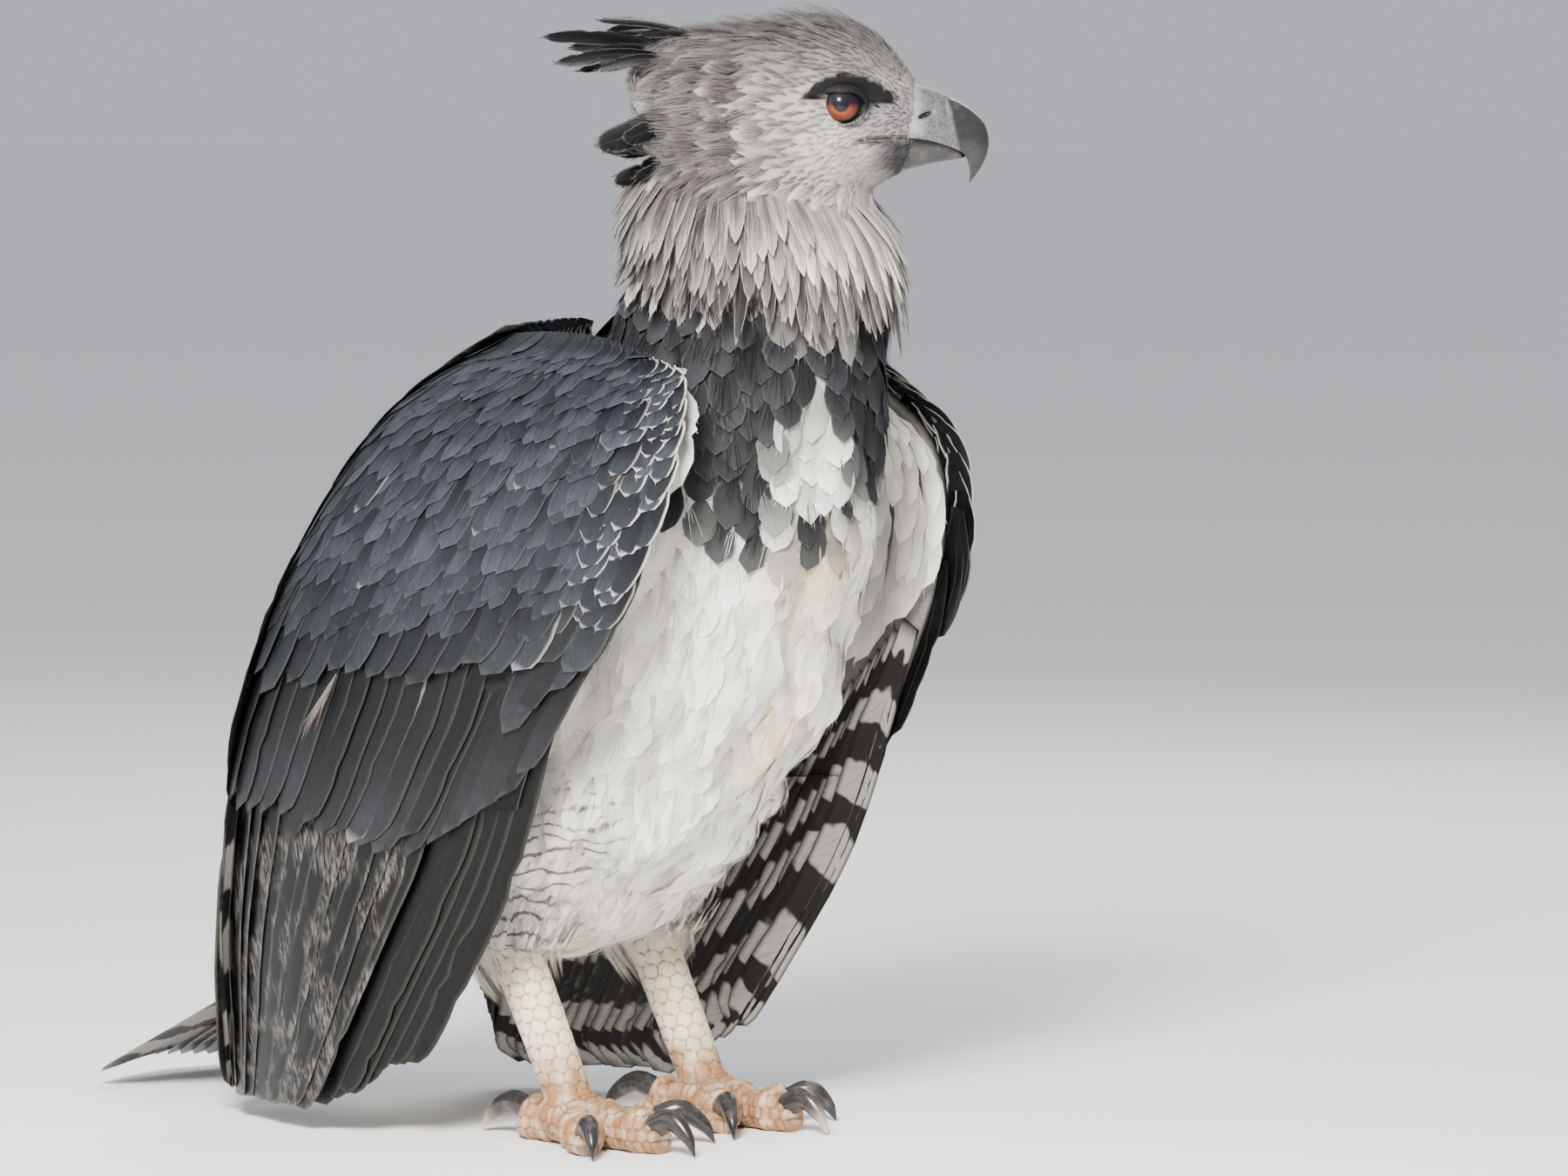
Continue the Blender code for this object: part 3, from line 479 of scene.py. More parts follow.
def normals_of(obj):
    values = np.empty(len(obj.data.vertices) * 3, np.float32)
    obj.data.vertices.foreach_get("normal", values)
    return values.reshape(-1, 3).astype(float)


def tube_points(rings):
    """Points and faces of a closed loft through rings, (rings, sides, 3), with its ends closed by fans."""
    rings = np.asarray(rings, float)
    count, sides = rings.shape[:2]
    points = np.concatenate([rings.reshape(-1, 3), rings[:1].mean(axis=1), rings[-1:].mean(axis=1)])
    k, j = np.meshgrid(np.arange(count - 1), np.arange(sides), indexing="ij")
    a = (k * sides + j).ravel()
    b = (k * sides + (j + 1) % sides).ravel()
    quads = np.stack([a, b, b + sides, a + sides], axis=1)
    j = np.arange(sides)
    first = np.stack([(j + 1) % sides, j, np.full(sides, count * sides)], axis=1)
    last = np.stack([j, (j + 1) % sides, np.full(sides, count * sides + 1)], axis=1)
    last[:, :2] += (count - 1) * sides
    corners = np.concatenate([quads.ravel(), first.ravel(), last.ravel()])
    sizes = np.concatenate([np.full(len(quads), 4), np.full(2 * sides, 3)])
    return points, (corners, sizes)


def merged(parts):
    """One set of points and faces from several, each with its corners and sizes."""
    points, corners, sizes = [], [], []
    for part_points, (part_corners, part_sizes) in parts:
        corners.append(part_corners + sum(len(p) for p in points))
        points.append(part_points)
        sizes.append(part_sizes)
    return np.concatenate(points), (np.concatenate(corners), np.concatenate(sizes))


def fix_faces(obj):
    """Turns the faces of a closed mesh outwards."""
    shape = bmesh.new()
    shape.from_mesh(obj.data)
    bmesh.ops.recalc_face_normals(shape, faces=shape.faces)
    shape.to_mesh(obj.data)
    shape.free()


def unwrap(obj):
    """An unwrap of the object's own shape, in the map named OFBake."""
    obj.data.uv_layers.new(name="OFBake")
    bpy.context.view_layer.objects.active = obj
    for other in bpy.context.selected_objects:
        other.select_set(False)
    obj.select_set(True)
    bpy.ops.object.mode_set(mode="EDIT")
    bpy.ops.mesh.select_all(action="SELECT")
    bpy.ops.uv.smart_project(angle_limit=UNWRAP_ANGLE, island_margin=UNWRAP_MARGIN)
    bpy.ops.object.mode_set(mode="OBJECT")
    obj.select_set(False)


def closed_piece(name, points, faces, material, **values):
    """A closed mesh with its faces turned outwards, values at its points and an unwrap."""
    obj = add_mesh(name, points, faces, material)
    fix_faces(obj)
    set_values(obj.data, **values)
    unwrap(obj)
    return obj


def fused(name, lofts, material, voxel, rounds):
    """One skin over several lofts, smoothed in so many rounds, with its points and normals."""
    obj = add_mesh(name, *merged([tube_points(rings) for rings in lofts]), material)
    remesh = obj.modifiers.new("remesh", "REMESH")
    remesh.mode = "VOXEL"
    remesh.voxel_size = voxel
    smooth = obj.modifiers.new("smooth", "SMOOTH")
    smooth.iterations = rounds
    mesh = bpy.data.meshes.new_from_object(obj.evaluated_get(bpy.context.evaluated_depsgraph_get()))
    old = obj.data
    obj.modifiers.clear()
    obj.data = mesh
    bpy.data.meshes.remove(old)
    mesh.materials.clear()
    mesh.materials.append(material)
    return obj, points_of(obj), normals_of(obj)


def move_points(obj, points):
    obj.data.vertices.foreach_set("co", to_part(points).astype(np.float32).ravel())
    obj.data.update()
    obj.data.shade_smooth()


def limb(path, radii, count, sides, across=(1.0, 0.0, 0.0), flatten=1.0):
    """Rings of a limb along a path that runs square to the across direction."""
    t = np.linspace(0, 1, count)
    centres = spline(path, t)
    along = unit(spline(path, np.minimum(t + 0.01, 1)) - spline(path, np.maximum(t - 0.01, 0)))
    across = np.asarray(across, float)
    other = np.cross(along, across)
    r = spline(np.array(radii, float)[:, None], t)[:, 0]
    angle = ring_angles(sides)
    offset = across * np.cos(angle)[None, :, None] + flatten * other[:, None] * np.sin(angle)[None, :, None]
    return centres[:, None] + r[:, None, None] * offset


def socket_depth(x, z):
    """How far the face draws in round the eye and the lores, less the brow's overhang."""
    eye = np.exp(-(((x - EYE[0] - 0.9) / 2.1) ** 2) - ((z - EYE[2] + 0.1) / 1.25) ** 2)
    brow = np.exp(-(((x - BROW[0]) / 2.3) ** 2) - ((z - BROW[2]) / 0.75) ** 2)
    return 0.8 * eye - 0.5 * brow


# The facial disc's edge on the side of the head: heights, and how far forward it lies there.
DISC_EDGE = [-9.0, -6.8, -1.7, 4.0], [0.6, -1.7, -3.4, -2.8]


def disc_distance(x, z):
    """How far a place on the side of the head lies before the curved edge of the facial disc."""
    return x - np.interp(z, *DISC_EDGE)


def skull_rings(count, sides):
    """Sections of the head: narrow crown, full cheeks, with a socket behind each brow."""
    rings = []
    for x, top, bottom, width in spline(HEAD, np.linspace(0, 1, count)):
        angle = ring_angles(sides)
        c, s = np.cos(angle), np.sin(angle)
        middle = (top + bottom) / 2 + 0.6
        z = middle + np.where(c > 0, top - middle, middle - bottom) * c
        y = width * np.sign(s) * np.abs(s) ** 0.9 * (1 - 0.12 * np.maximum(0.0, c))
        y = y - np.where(np.abs(s) > 0.2, np.sign(s) * socket_depth(x, z), 0.0)
        edge = disc_distance(x, z)
        swell = 0.55 * smooth_step(-0.5, 0.3, edge) * smooth_step(4.0, 0.3, edge)
        y = y + np.sign(s) * swell * smooth_step(0.4, 0.7, np.abs(s))
        rings.append(head_to_bird(np.stack([np.full(sides, x), y, z], axis=1)))
    return np.array(rings)


def mirrored(point, side):
    return (-side * point[0], point[1], point[2])


def ball_rings(centre, radii):
    """Rings of a ball with a radius along each axis, from its top to its bottom."""
    count, sides = 24, 32
    rings = []
    for k in range(count + 1):
        a = math.pi * (k + 0.02) / (count + 0.04)
        b = ring_angles(sides)
        ring = np.stack([np.sin(a) * np.cos(b), np.sin(a) * np.sin(b), np.full(sides, math.cos(a))], axis=1)
        rings.append(np.array(centre) + ring * np.array(radii))
    return np.array(rings)


# Depth of the skin under the outline on body, head, leg and face, and how much the body's folds change it.
BODY_DEPTH = 1.0
HEAD_DEPTH = 0.55
LEG_DEPTH = 0.35
FACE_DEPTH = 0.06
FOLD_DEPTH = 1.7


def coat_depth(points):
    """How deep the skin lies under the feathers' outline, in centimetres."""
    local = bird_to_head(points)
    face = smooth_step(-1.5, 3.5, local[:, 0]) * smooth_step(58.5, 61.5, points[:, 2])
    head = smooth_step(57.5, 61.5, points[:, 2])
    leg = smooth_step(15.5, 12.5, points[:, 2])
    depth = BODY_DEPTH + head * (HEAD_DEPTH - BODY_DEPTH)
    depth = depth * (1 - leg) + LEG_DEPTH * leg
    depth = depth * (1 - face) + FACE_DEPTH * face
    soft = smooth_step(58, 52, points[:, 2]) * smooth_step(11, 15, points[:, 2])
    along_coat = points * (1.0, 1.0, 0.55)
    return depth + FOLD_DEPTH * soft * (ripple(along_coat, 1.9, 2.0) - 0.5)


def make_skin(material):
    """One skin over trunk, neck, head and thighs, drawn in from the outline by the depth of the coat."""
    u = np.arange(64) / 64
    trunk = [trunk_surface(u, np.full(64, v)) for v in np.linspace(0, 1, 90)]
    lofts = [trunk, skull_rings(90, 96)]
    below = np.array(ANKLE) - 0.1 * (np.array(KNEE) - np.array(ANKLE))
    for side in SIDES.values():
        lofts.append(ball_rings(mirrored(SHOULDER, side), SHOULDER_RADII))
        path = [mirrored(p, side) for p in (LEG_TOP, HIP, KNEE, ANKLE, below)]
        lofts.append(limb(path, THIGH_RADII, 50, 48))
    skin, points, normals = fused("skin", lofts, material, SKIN_VOXEL, 6)
    move_points(skin, points - normals * coat_depth(points)[:, None])
    set_values(skin.data, tint=skin_tint(points))
    return skin


# Linear colours.
SLATE = (0.022, 0.023, 0.026)
SLATE_BLUE = (0.022, 0.0245, 0.029)
BLACK = (0.008, 0.008, 0.009)
WHITE = (0.89, 0.87, 0.82)
# Cream: a warm tone of the white feathers, and also painted warm shade towards the bottom of the body and
# under the tail.
CREAM = (0.78, 0.7, 0.57)
STAIN = (0.8, 0.66, 0.36)
CROWN_GREY = (0.155, 0.144, 0.144)
CHEEK_GREY = (0.43, 0.4, 0.387)
HOOD_GREY = (0.3, 0.27, 0.258)
BEARD = (0.42, 0.35, 0.3)
LORES = (0.3, 0.285, 0.29)
MOTTLE_GREY = (0.13, 0.12, 0.115)
EDGE_PALE = (0.62, 0.58, 0.53)
SHAFT_BLACK = (0.012, 0.011, 0.012)
UNDER_PALE = (0.6, 0.57, 0.53)
UNDER_BAND = (0.035, 0.032, 0.031)
THIGH_BAR = (0.11, 0.1, 0.095)
HORN_ROOT = (0.03, 0.028, 0.029)
HORN_TIP = (0.012, 0.011, 0.011)
HORN_WORN = (0.16, 0.135, 0.13)
HORN_PALE = (0.62, 0.47, 0.38)
CERE_GREY = (0.13, 0.127, 0.13)
CERE_GROOVE = (0.05, 0.049, 0.051)
# Painted shade inside the nostril's slit.
NOSTRIL_SHADOW = (0.004, 0.004, 0.004)
# Painted shade in the mouth's crease.
MOUTH_SHADOW = (0.006, 0.005, 0.005)
IRIS_ORANGE = (0.19, 0.04, 0.009)
IRIS_BROWN = (0.1, 0.016, 0.004)
PUPIL_BLACK = (0.002, 0.002, 0.003)
EYE_RIM = (0.008, 0.006, 0.006)
# Painted shadow of the brow over the eye's top.
EYE_SHADE = (0.003, 0.0035, 0.009)
LID_GREY = (0.2, 0.185, 0.18)
LID_GROOVE = (0.05, 0.045, 0.045)
# Black of the lid's rim, and also the brow's painted shadow on the lid's top.
LID_BLACK = (0.006, 0.0055, 0.0055)
SCALE_CREAM = (0.84, 0.77, 0.6)
SCALE_YELLOW = (0.72, 0.6, 0.39)
DIRT_BROWN = (0.29, 0.11, 0.022)
GROOVE_BROWN = (0.14, 0.085, 0.045)
CORE_DARK = (0.012, 0.012, 0.014)
CORE_PALE = (0.3, 0.29, 0.27)
TAIL_ROOT_TINT = (0.4, 0.37, 0.33)
# The shoulder's lighter slate, with a painted blue sheen in it.
WING_BLUE = (0.019, 0.0215, 0.0265)
WING_SLATE = (0.0085, 0.009, 0.0105)
WING_BROWN = (0.0045, 0.0041, 0.004)
PRIMARY_BLACK = (0.0022, 0.0021, 0.0022)
TAIL_BLACK = (0.03, 0.029, 0.029)
TAIL_COVERT = (0.06, 0.058, 0.06)
CREST_BLACK = (0.004, 0.004, 0.005)
MOUTH_EDGE = (0.075, 0.072, 0.074)

# The black skin between eye and brow, in the head's frame: its lower and upper edges, (x, z).
PATCH_LOW = [(1.3, 0.45), (2.7, 0.7), (3.9, 0.8), (4.8, 0.3), (5.5, 0.05), (6.9, 0.2)]
PATCH_HIGH = [(1.2, 0.8), (2.2, 1.8), (3.5, 2.3), (4.9, 2.15), (5.9, 1.7), (7.0, 0.9)]


def brow_patch(local):
    """1 on the black skin that runs from over the eye towards the bill."""
    x, z = local[:, 0], local[:, 2]
    low, high = (np.interp(x, *zip(*edge)) for edge in (PATCH_LOW, PATCH_HIGH))
    inside = smooth_step(-0.12, 0.08, z - low) * smooth_step(-0.12, 0.08, high - z)
    return inside * smooth_step(0.9, 1.3, x) * smooth_step(7.3, 6.9, x)


def lore_share(local):
    """1 on the bare stippled skin before the eye and along the mouth."""
    x, z = local[:, 0], local[:, 2]
    front = smooth_step(4.6, 5.6, x) * smooth_step(1.6, 1.0, z) * smooth_step(-2.6, -2.2, z)
    above = smooth_step(-4.4, -3.7, z + 0.25 * (x - 6.5))
    mouth = smooth_step(5.0, 7.2, x) * above * smooth_step(-1.7, -2.1, z)
    return np.maximum(front, mouth)


def blend(low, high, share):
    share = np.clip(np.asarray(share, float), 0, 1)[:, None]
    return np.asarray(low, float) * (1 - share) + np.asarray(high, float) * share


def spot(points, centre, radius):
    """1 at the centre, fading to 0 at the radius."""
    distance = np.linalg.norm((points - np.array(centre)) / np.array(radius), axis=1)
    return smooth_step(1.0, 0.55, distance)


def ripple(points, scale, seed=0.0):
    """A smooth, uneven value from 0 to 1 that changes over about the given length."""
    p = points / scale + seed
    x, y, z = p[:, 0], p[:, 1], p[:, 2]
    waves = np.sin(2.1 * x + 1.3 * np.sin(1.7 * y + seed)) + np.sin(1.9 * y + 1.1 * np.sin(1.3 * z))
    waves += np.sin(2.3 * z + 1.2 * np.sin(1.9 * x + 2 * seed))
    return 0.5 + waves / 6


def hood_edge(points):
    """Height of the hood's lower edge: low at the throat, high at the nape."""
    return 54.4 + 0.26 * (points[:, 1] + 18.0) + 1.6 * (ripple(points, 1.6) - 0.5)


def bib_edge(points):
    """Height of the dark breast band's lower edge, lowest near the middle of the breast."""
    return 40.2 + 0.075 * (points[:, 0] + 3.0) ** 2 + 2.6 * (ripple(points, 1.7, 3.0) - 0.5)


def back_share(points):
    """1 over the mantle and back, 0 on breast, belly and flanks."""
    line = 3.5 - 0.12 * (points[:, 2] - 40)
    return smooth_step(line, line + 2.5, points[:, 1]) * smooth_step(19, 23, points[:, 2])


def skin_tint(points):
    """The bird's markings at any place on its body, with painted shadow behind the facial disc's rows and
    painted warm shade towards the bottom of the body; the skin and the coat share them.
    """
    local = bird_to_head(points)
    y, z = points[:, 1], points[:, 2]
    tint = tint_of(WHITE, len(points))
    shade = ripple(points, 3.0, 1.0)
    # Cream at random over the belly is the feathers' own tone; the cream towards the bottom, round the vent
    # and under the tail, is painted warm shade.
    tint = blend(tint, CREAM, 0.35 * shade + 0.5 * smooth_step(16, 10, z))
    stain = np.maximum(spot(points, (-1.5, -16.5, 37), (6, 4, 5)), spot(points, (0.0, -12.6, 28), (5, 4, 3)))
    tint = blend(tint, STAIN, 0.85 * stain * ripple(points, 1.2, 5.0))
    bib = smooth_step(-0.8, 0.8, z - bib_edge(points)) * smooth_step(9, 5, y)
    flecks = smooth_step(0.45, 0.7, ripple(points, 1.0, 8.0)) * spot(points, (-2.0, -17.5, 43.5), (6, 4, 4.5))
    patch = spot(points, (-3.2, -17.6, 47.0), (3.0, 4.0, 3.4))
    tint = blend(tint, SLATE, bib * (1 - 0.9 * patch) * (1 - 0.75 * flecks))
    tint = blend(tint, SLATE_BLUE, back_share(points))
    hood = smooth_step(-0.5, 0.5, z - hood_edge(points))
    crown = smooth_step(1.5, 4.5, local[:, 2])
    cheek = smooth_step(-4.5, 1.0, local[:, 0]) * smooth_step(2.5, 0.0, local[:, 2])
    throat = smooth_step(-3.5, -7.0, local[:, 2]) * smooth_step(-1.0, 3.0, local[:, 0])
    grey = blend(tint_of(HOOD_GREY, len(points)), CROWN_GREY, crown)
    grey = blend(grey, CHEEK_GREY, cheek)
    grey = blend(grey, WHITE, 0.7 * throat + 0.35 * spot(local, (3.0, 0.0, -2.5), (4.0, 9.0, 2.4)))
    grey = blend(grey, BEARD, 0.7 * throat * ripple(points, 0.9, 2.0))
    grey *= (0.78 + 0.44 * ripple(points, 0.7, 4.0))[:, None]
    # Painted shadow: dark bands just behind the facial disc's edge and behind each row of its feathers' tips,
    # where the tips overhang.
    behind = disc_distance(local[:, 0], local[:, 2])
    rows = 0.55 * np.exp(-(((behind + 0.7) / 0.55) ** 2)) + 0.55 * np.exp(-(((behind + 2.7) / 0.55) ** 2))
    rows += 0.5 * np.exp(-(((behind + 4.6) / 0.5) ** 2))
    grey *= (1 - rows * smooth_step(3.6, 2.2, local[:, 2]))[:, None]
    grey = blend(grey, LORES, lore_share(local))
    grey = blend(grey, MOUTH_EDGE, smooth_step(-1.9, -2.3, local[:, 2]) * lore_share(local))
    grey = blend(grey, BLACK, brow_patch(local))
    return blend(tint, grey, hood)


def leg_share(points):
    """1 on the lower thighs and 0 on the belly."""
    out = smooth_step(2.5, 4.0, np.abs(points[:, 0]))
    return out * smooth_step(25, 20, points[:, 2])


def leg_bars(points):
    """How far the thigh's dark bars show: on its outer and front sides."""
    out = smooth_step(5.8, 8.0, np.abs(points[:, 0]))
    return 0.9 * out * smooth_step(26, 22, points[:, 2]) * smooth_step(11.5, 13.0, points[:, 2])


# Feathers are made many at once. A set of them is: points, (n, per, 3); the corners, face sizes and rim marks
# of one feather; a place in its vane for each point, (n, per, 2); and which points lie on its underside.


VANE_THICK = 0.025


def each(count, *values):
    """The values as arrays of one number for each feather."""
    return [np.broadcast_to(np.asarray(value, float), count).copy() for value in values]


def weave(centres, normals, half, shares, camber, tilt, columns, sign=1.0):
    """Closed vanes from their middle lines and the normals there, both (n, R, 3).

    half is each feather's half width, and shares, (n, R, 2), says how much of it each side has at a station.
    """
    n, stations = centres.shape[:2]
    ahead = np.concatenate([centres[:, 1:], 2 * centres[:, -1:] - centres[:, -2:-1]], axis=1)
    behind = np.concatenate([2 * centres[:, :1] - centres[:, 1:2], centres[:, :-1]], axis=1)
    across = sign * unit(np.cross(unit(ahead - behind), normals))
    c = np.linspace(-1, 1, columns)
    share = np.where(c[None, None] < 0, shares[:, :, :1], shares[:, :, 1:])
    width = half[:, None, None] * share
    reach = width * c
    tilt = np.broadcast_to(np.asarray(tilt, float), n)[:, None, None]
    raised = -camber * c**2 * width - tilt * reach
    top = centres[:, :, None] + across[:, :, None] * reach[..., None]
    top = top + normals[:, :, None] * raised[..., None]
    rim = np.zeros((stations, columns), bool)
    rim[0] = rim[-1] = True
    rim[:, 0] = rim[:, -1] = True
    under = top - normals[:, :, None] * VANE_THICK
    inner = under[:, ~rim].reshape(n, -1, 3)
    per = stations * columns
    points = np.concatenate([top.reshape(n, per, 3), inner], axis=1)
    top_index = np.arange(per).reshape(stations, columns)
    low_index = top_index.copy()
    low_index[~rim] = per + np.arange(inner.shape[1])
    quads = []
    for index, order in ((top_index, (0, 1, 3, 2)), (low_index, (0, 2, 3, 1))):
        corner = [index[:-1, :-1], index[:-1, 1:], index[1:, :-1], index[1:, 1:]]
        quads.append(np.stack([corner[k].ravel() for k in order], axis=1))
    quads = np.concatenate(quads)
    if sign < 0:
        quads = quads[:, ::-1]
    f, cc = np.meshgrid(np.linspace(0, 1, stations), c, indexing="ij")
    uv = np.stack([cc.ravel(), f.ravel()], axis=1)
    uv = np.concatenate([uv, uv[~rim.ravel()]])
    low = np.concatenate([np.zeros(per), np.ones(inner.shape[1])])
    edge = np.concatenate([rim.ravel(), np.zeros(inner.shape[1], bool)])
    uv = np.broadcast_to(uv, (n, *uv.shape))
    return points, quads.ravel(), np.full(len(quads), 4), edge, uv, low


def joined(first, second):
    """Two sets over the same feathers, such as vanes and the loose barbs along their edges."""
    per = first[0].shape[1]
    return (
        np.concatenate([first[0], second[0]], axis=1),
        np.concatenate([first[1], second[1] + per]),
        *(np.concatenate([a, b]) for a, b in zip(first[2:4], second[2:4])),
        np.concatenate([first[4], second[4]], axis=1),
        np.concatenate([first[5], second[5]]),
    )


def stacked(sets):
    """One set from several sets of like feathers."""
    points = np.concatenate([s[0] for s in sets])
    uv = np.concatenate([s[4] for s in sets])
    return (points, *sets[0][1:4], uv, sets[0][5])


def blade(stations, root_share=0.3, widest=0.45, tip_from=0.7, tip_power=2.2):
    """A feather's outline: its share of the half width at each station, with a rounded tip."""
    f = np.linspace(0, 1, stations)
    opening = root_share + (1 - root_share) * smooth_step(0, widest, f)
    closing = np.clip((f - tip_from) / (1 - tip_from), 0, 1)
    return opening * (1 - closing**tip_power) ** (1 / tip_power) + 0.02


def ragged(n, shares, chance, depth):
    """Both sides of each feather's outline, with a few gaps where its barbs part."""
    stations = len(shares)
    both = np.repeat(np.tile(shares, (n, 1))[:, :, None], 2, axis=2)
    gaps = random.random(both.shape) < chance
    gaps[:, :2] = False
    cut = 1 - gaps * depth * (0.4 + 0.6 * random.random(both.shape))
    wobble = 1 + 0.04 * (random.random((n, stations, 2)) - 0.5)
    return both * cut * wobble


def lay_on(surface, flip, roots, tips, lifts, stations):
    """Middle lines and normals of feathers that follow a surface from roots to tips, both (n, 2)."""
    n = len(roots)
    f = np.linspace(0, 1, stations)
    uv = roots[:, None] + (tips - roots)[:, None] * f[None, :, None]
    u, v = uv[..., 0].ravel(), uv[..., 1].ravel()
    points = surface(u, v).reshape(n, stations, 3)
    normals = flip * surface_normals(surface, u, v).reshape(n, stations, 3)
    lift = lifts[:, :1] + (lifts[:, 1:] - lifts[:, :1]) * f[None] ** 0.8
    return points + normals * lift[..., None], normals


def row_of(count, roots, tips, half_width, lifts, jitter=0.12):
    """A row of feathers from the first root and tip to the last, with small differences between them."""
    f = np.linspace(0, 1, count)[:, None]
    spaced = (np.array(ends, float) for ends in (roots, tips))
    roots, tips = (ends[0] + (ends[1] - ends[0]) * f for ends in spaced)
    pitch = abs(tips[-1, 0] - tips[0, 0]) / max(count - 1, 1)
    tips = tips + np.stack([
        jitter * pitch * random.standard_normal(count),
        0.006 * random.standard_normal(count),
    ], axis=1)
    half = half_width * (1 + 0.06 * random.standard_normal(count))
    raised = np.tile(np.array(lifts, float), (count, 1))
    raised[:, 1] += 0.03 * random.standard_normal(count)
    return roots, tips, half, raised


def strand_faces(stations):
    """Corners and face sizes of one closed three-sided strand with a pointed end, and its point count."""
    quads = []
    for k in range(stations - 2):
        for j in range(3):
            a, b = 3 * k + j, 3 * k + (j + 1) % 3
            quads.append((a, b, b + 3, a + 3))
    last = 3 * (stations - 2)
    tips = [(last + j, last + (j + 1) % 3, last + 3) for j in range(3)]
    corners = [i for face in quads for i in face] + [i for face in tips for i in face] + [2, 1, 0]
    sizes = [4] * len(quads) + [3] * 4
    return np.array(corners), np.array(sizes), 3 * (stations - 1) + 1


def thread(centre, across, normal, size, flat):
    """Closed strands from their middle points, (n, m, K, 3), flattened against the normal."""
    n, m, stations = centre.shape[:3]
    rings = []
    for angle in (90, 210, 330):
        c, s = math.cos(math.radians(angle)), math.sin(math.radians(angle))
        rings.append(centre + (size * c)[..., None] * across + (flat * size * s)[..., None] * normal)
    body = np.stack(rings, axis=3)[:, :, :-1].reshape(n, m, -1, 3)
    points = np.concatenate([body, centre[:, :, -1:]], axis=2).reshape(n, -1, 3)
    corners, sizes, per = strand_faces(stations)
    corners = (corners[None] + (np.arange(m) * per)[:, None]).ravel()
    return points, corners, np.tile(sizes, m), np.zeros(m * per, bool)


def along(lines, t):
    """Points at shares t, (n, m, k), of lines (n, K, 3)."""
    at = np.clip(t, 0, 0.9999) * (lines.shape[1] - 1)
    i = at.astype(int)
    w = (at - i)[..., None]
    rows = np.arange(len(lines))[:, None, None]
    return lines[rows, i] * (1 - w) + lines[rows, i + 1] * w


def fringe(centres, normals, half, shares, camber, tilt, count, length, radius, start=0.3, sign=1.0):
    """Loose barbs that leave each vane's edges and its tip, slanting towards the tip."""
    n, stations = centres.shape[:2]
    ahead = unit(centres[:, -1] - centres[:, 0])[:, None, None]
    f = np.tile(np.linspace(start, 0.995, count), (n, 1))
    f = np.clip(f + 0.03 * random.standard_normal((n, count)), start, 0.995)
    side = np.where(np.arange(count) % 2 == 0, 1.0, -1.0)[None] * np.ones((n, 1))
    at = f * (stations - 1)
    i = np.minimum(at.astype(int), stations - 2)
    w = at - i
    rows = np.arange(n)[:, None]
    column = (side > 0).astype(int)
    share = shares[rows, i, column] * (1 - w) + shares[rows, i + 1, column] * w
    base = along(centres, f[..., None])
    normal = unit(along(normals, f[..., None]))
    across = sign * unit(np.cross(np.broadcast_to(ahead, normal.shape), normal))
    c = side * (0.55 + 0.4 * random.random((n, count)))
    width = (half[:, None] * share)[..., None, None]
    tilt = np.broadcast_to(np.asarray(tilt, float), n)[:, None, None, None]
    place = c[..., None, None]
    base = base + across * width * place + normal * (-camber * place**2 * width - tilt * place * width)
    slant = (0.55 * (1 - smooth_step(0.75, 1.0, f)) * side)[..., None, None]
    way = unit(ahead + across * (slant + 0.15 * random.standard_normal((n, count, 1, 1))))
    t = np.array([0.0, 0.5, 1.0])
    reach = length * (0.6 + 0.8 * random.random((n, count, 1, 1)))
    centre = base + way * reach * t[:, None] - normal * (0.08 * reach * (t**2)[:, None])
    size = np.broadcast_to(radius * np.array([0.8, 0.8, 0.3]), (n, count, 3))
    points, corners, sizes, edge = thread(centre, across, normal, size, 0.5)
    per = len(edge) // count
    uv = np.stack([np.repeat(c, per, axis=1), np.repeat(f, per, axis=1)], axis=-1)
    return points, corners, sizes, edge, uv, np.zeros(len(edge))


def vaned(vane, columns, barbs, barb_length, barb_radius, start=0.3, sign=1.0):
    """Closed vanes with loose barbs; vane holds the first values of weave and fringe."""
    return joined(weave(*vane, columns, sign), fringe(*vane, barbs, barb_length, barb_radius, start, sign))


def tufts(lines, normals, strands, spread, lifts, radius, stations=4, fray=0.25, shortest=0.6, flat=0.3):
    """Each tuft's strands fan out from its root and draw together towards its ragged end.

    spread, radius and the two lifts, over the skin at root and tip, are in centimetres: one for all or each.
    """
    n = len(lines)
    spread, low, high, radius = (value[:, None, None] for value in each(n, spread, *lifts, radius))
    side = random.permuted(np.tile(np.linspace(-1, 1, strands), (n, 1)), axis=1)
    side = side + 0.3 * (random.random((n, strands)) - 0.5)
    reach = 1 - (1 - shortest) * random.random((n, strands)) * (0.5 + 0.5 * np.abs(side))
    f = np.linspace(0, 1, stations)
    t = reach[..., None] * f
    middle = along(lines, t)
    normal = unit(along(normals, t))
    ahead = unit(lines[:, -1] - lines[:, 0])[:, None, None]
    across = unit(np.cross(normal, np.broadcast_to(ahead, normal.shape)))
    fan = t**0.7 * (1 - 0.4 * t)
    wander = fray * random.standard_normal((n, strands, 1)) * t**2
    offset = spread * (side[..., None] * fan + wander)
    height = low * (1 - t) + high * t
    uneven = 0.5 * spread * fray * random.standard_normal((n, strands, 1)) * t
    rise = np.maximum(height * (0.75 + 0.5 * random.random((n, strands, 1))) + uneven, 0.01)
    centre = middle + across * offset[..., None] + normal * rise[..., None]
    size = radius * np.broadcast_to(np.interp(f, [0, 0.35, 1], [0.75, 1.0, 0.5]), t.shape)
    points, corners, sizes, edge = thread(centre, across, normal, size, flat)
    per = len(edge) // strands
    tall = np.concatenate([np.repeat(f[:-1], 3), [1.0]])
    places = [
        np.repeat(np.clip(side, -1, 1), per, axis=1),
        (reach[..., None] * tall).reshape(n, -1),
    ]
    return points, corners, sizes, edge, np.stack(places, axis=-1), np.zeros(len(edge))


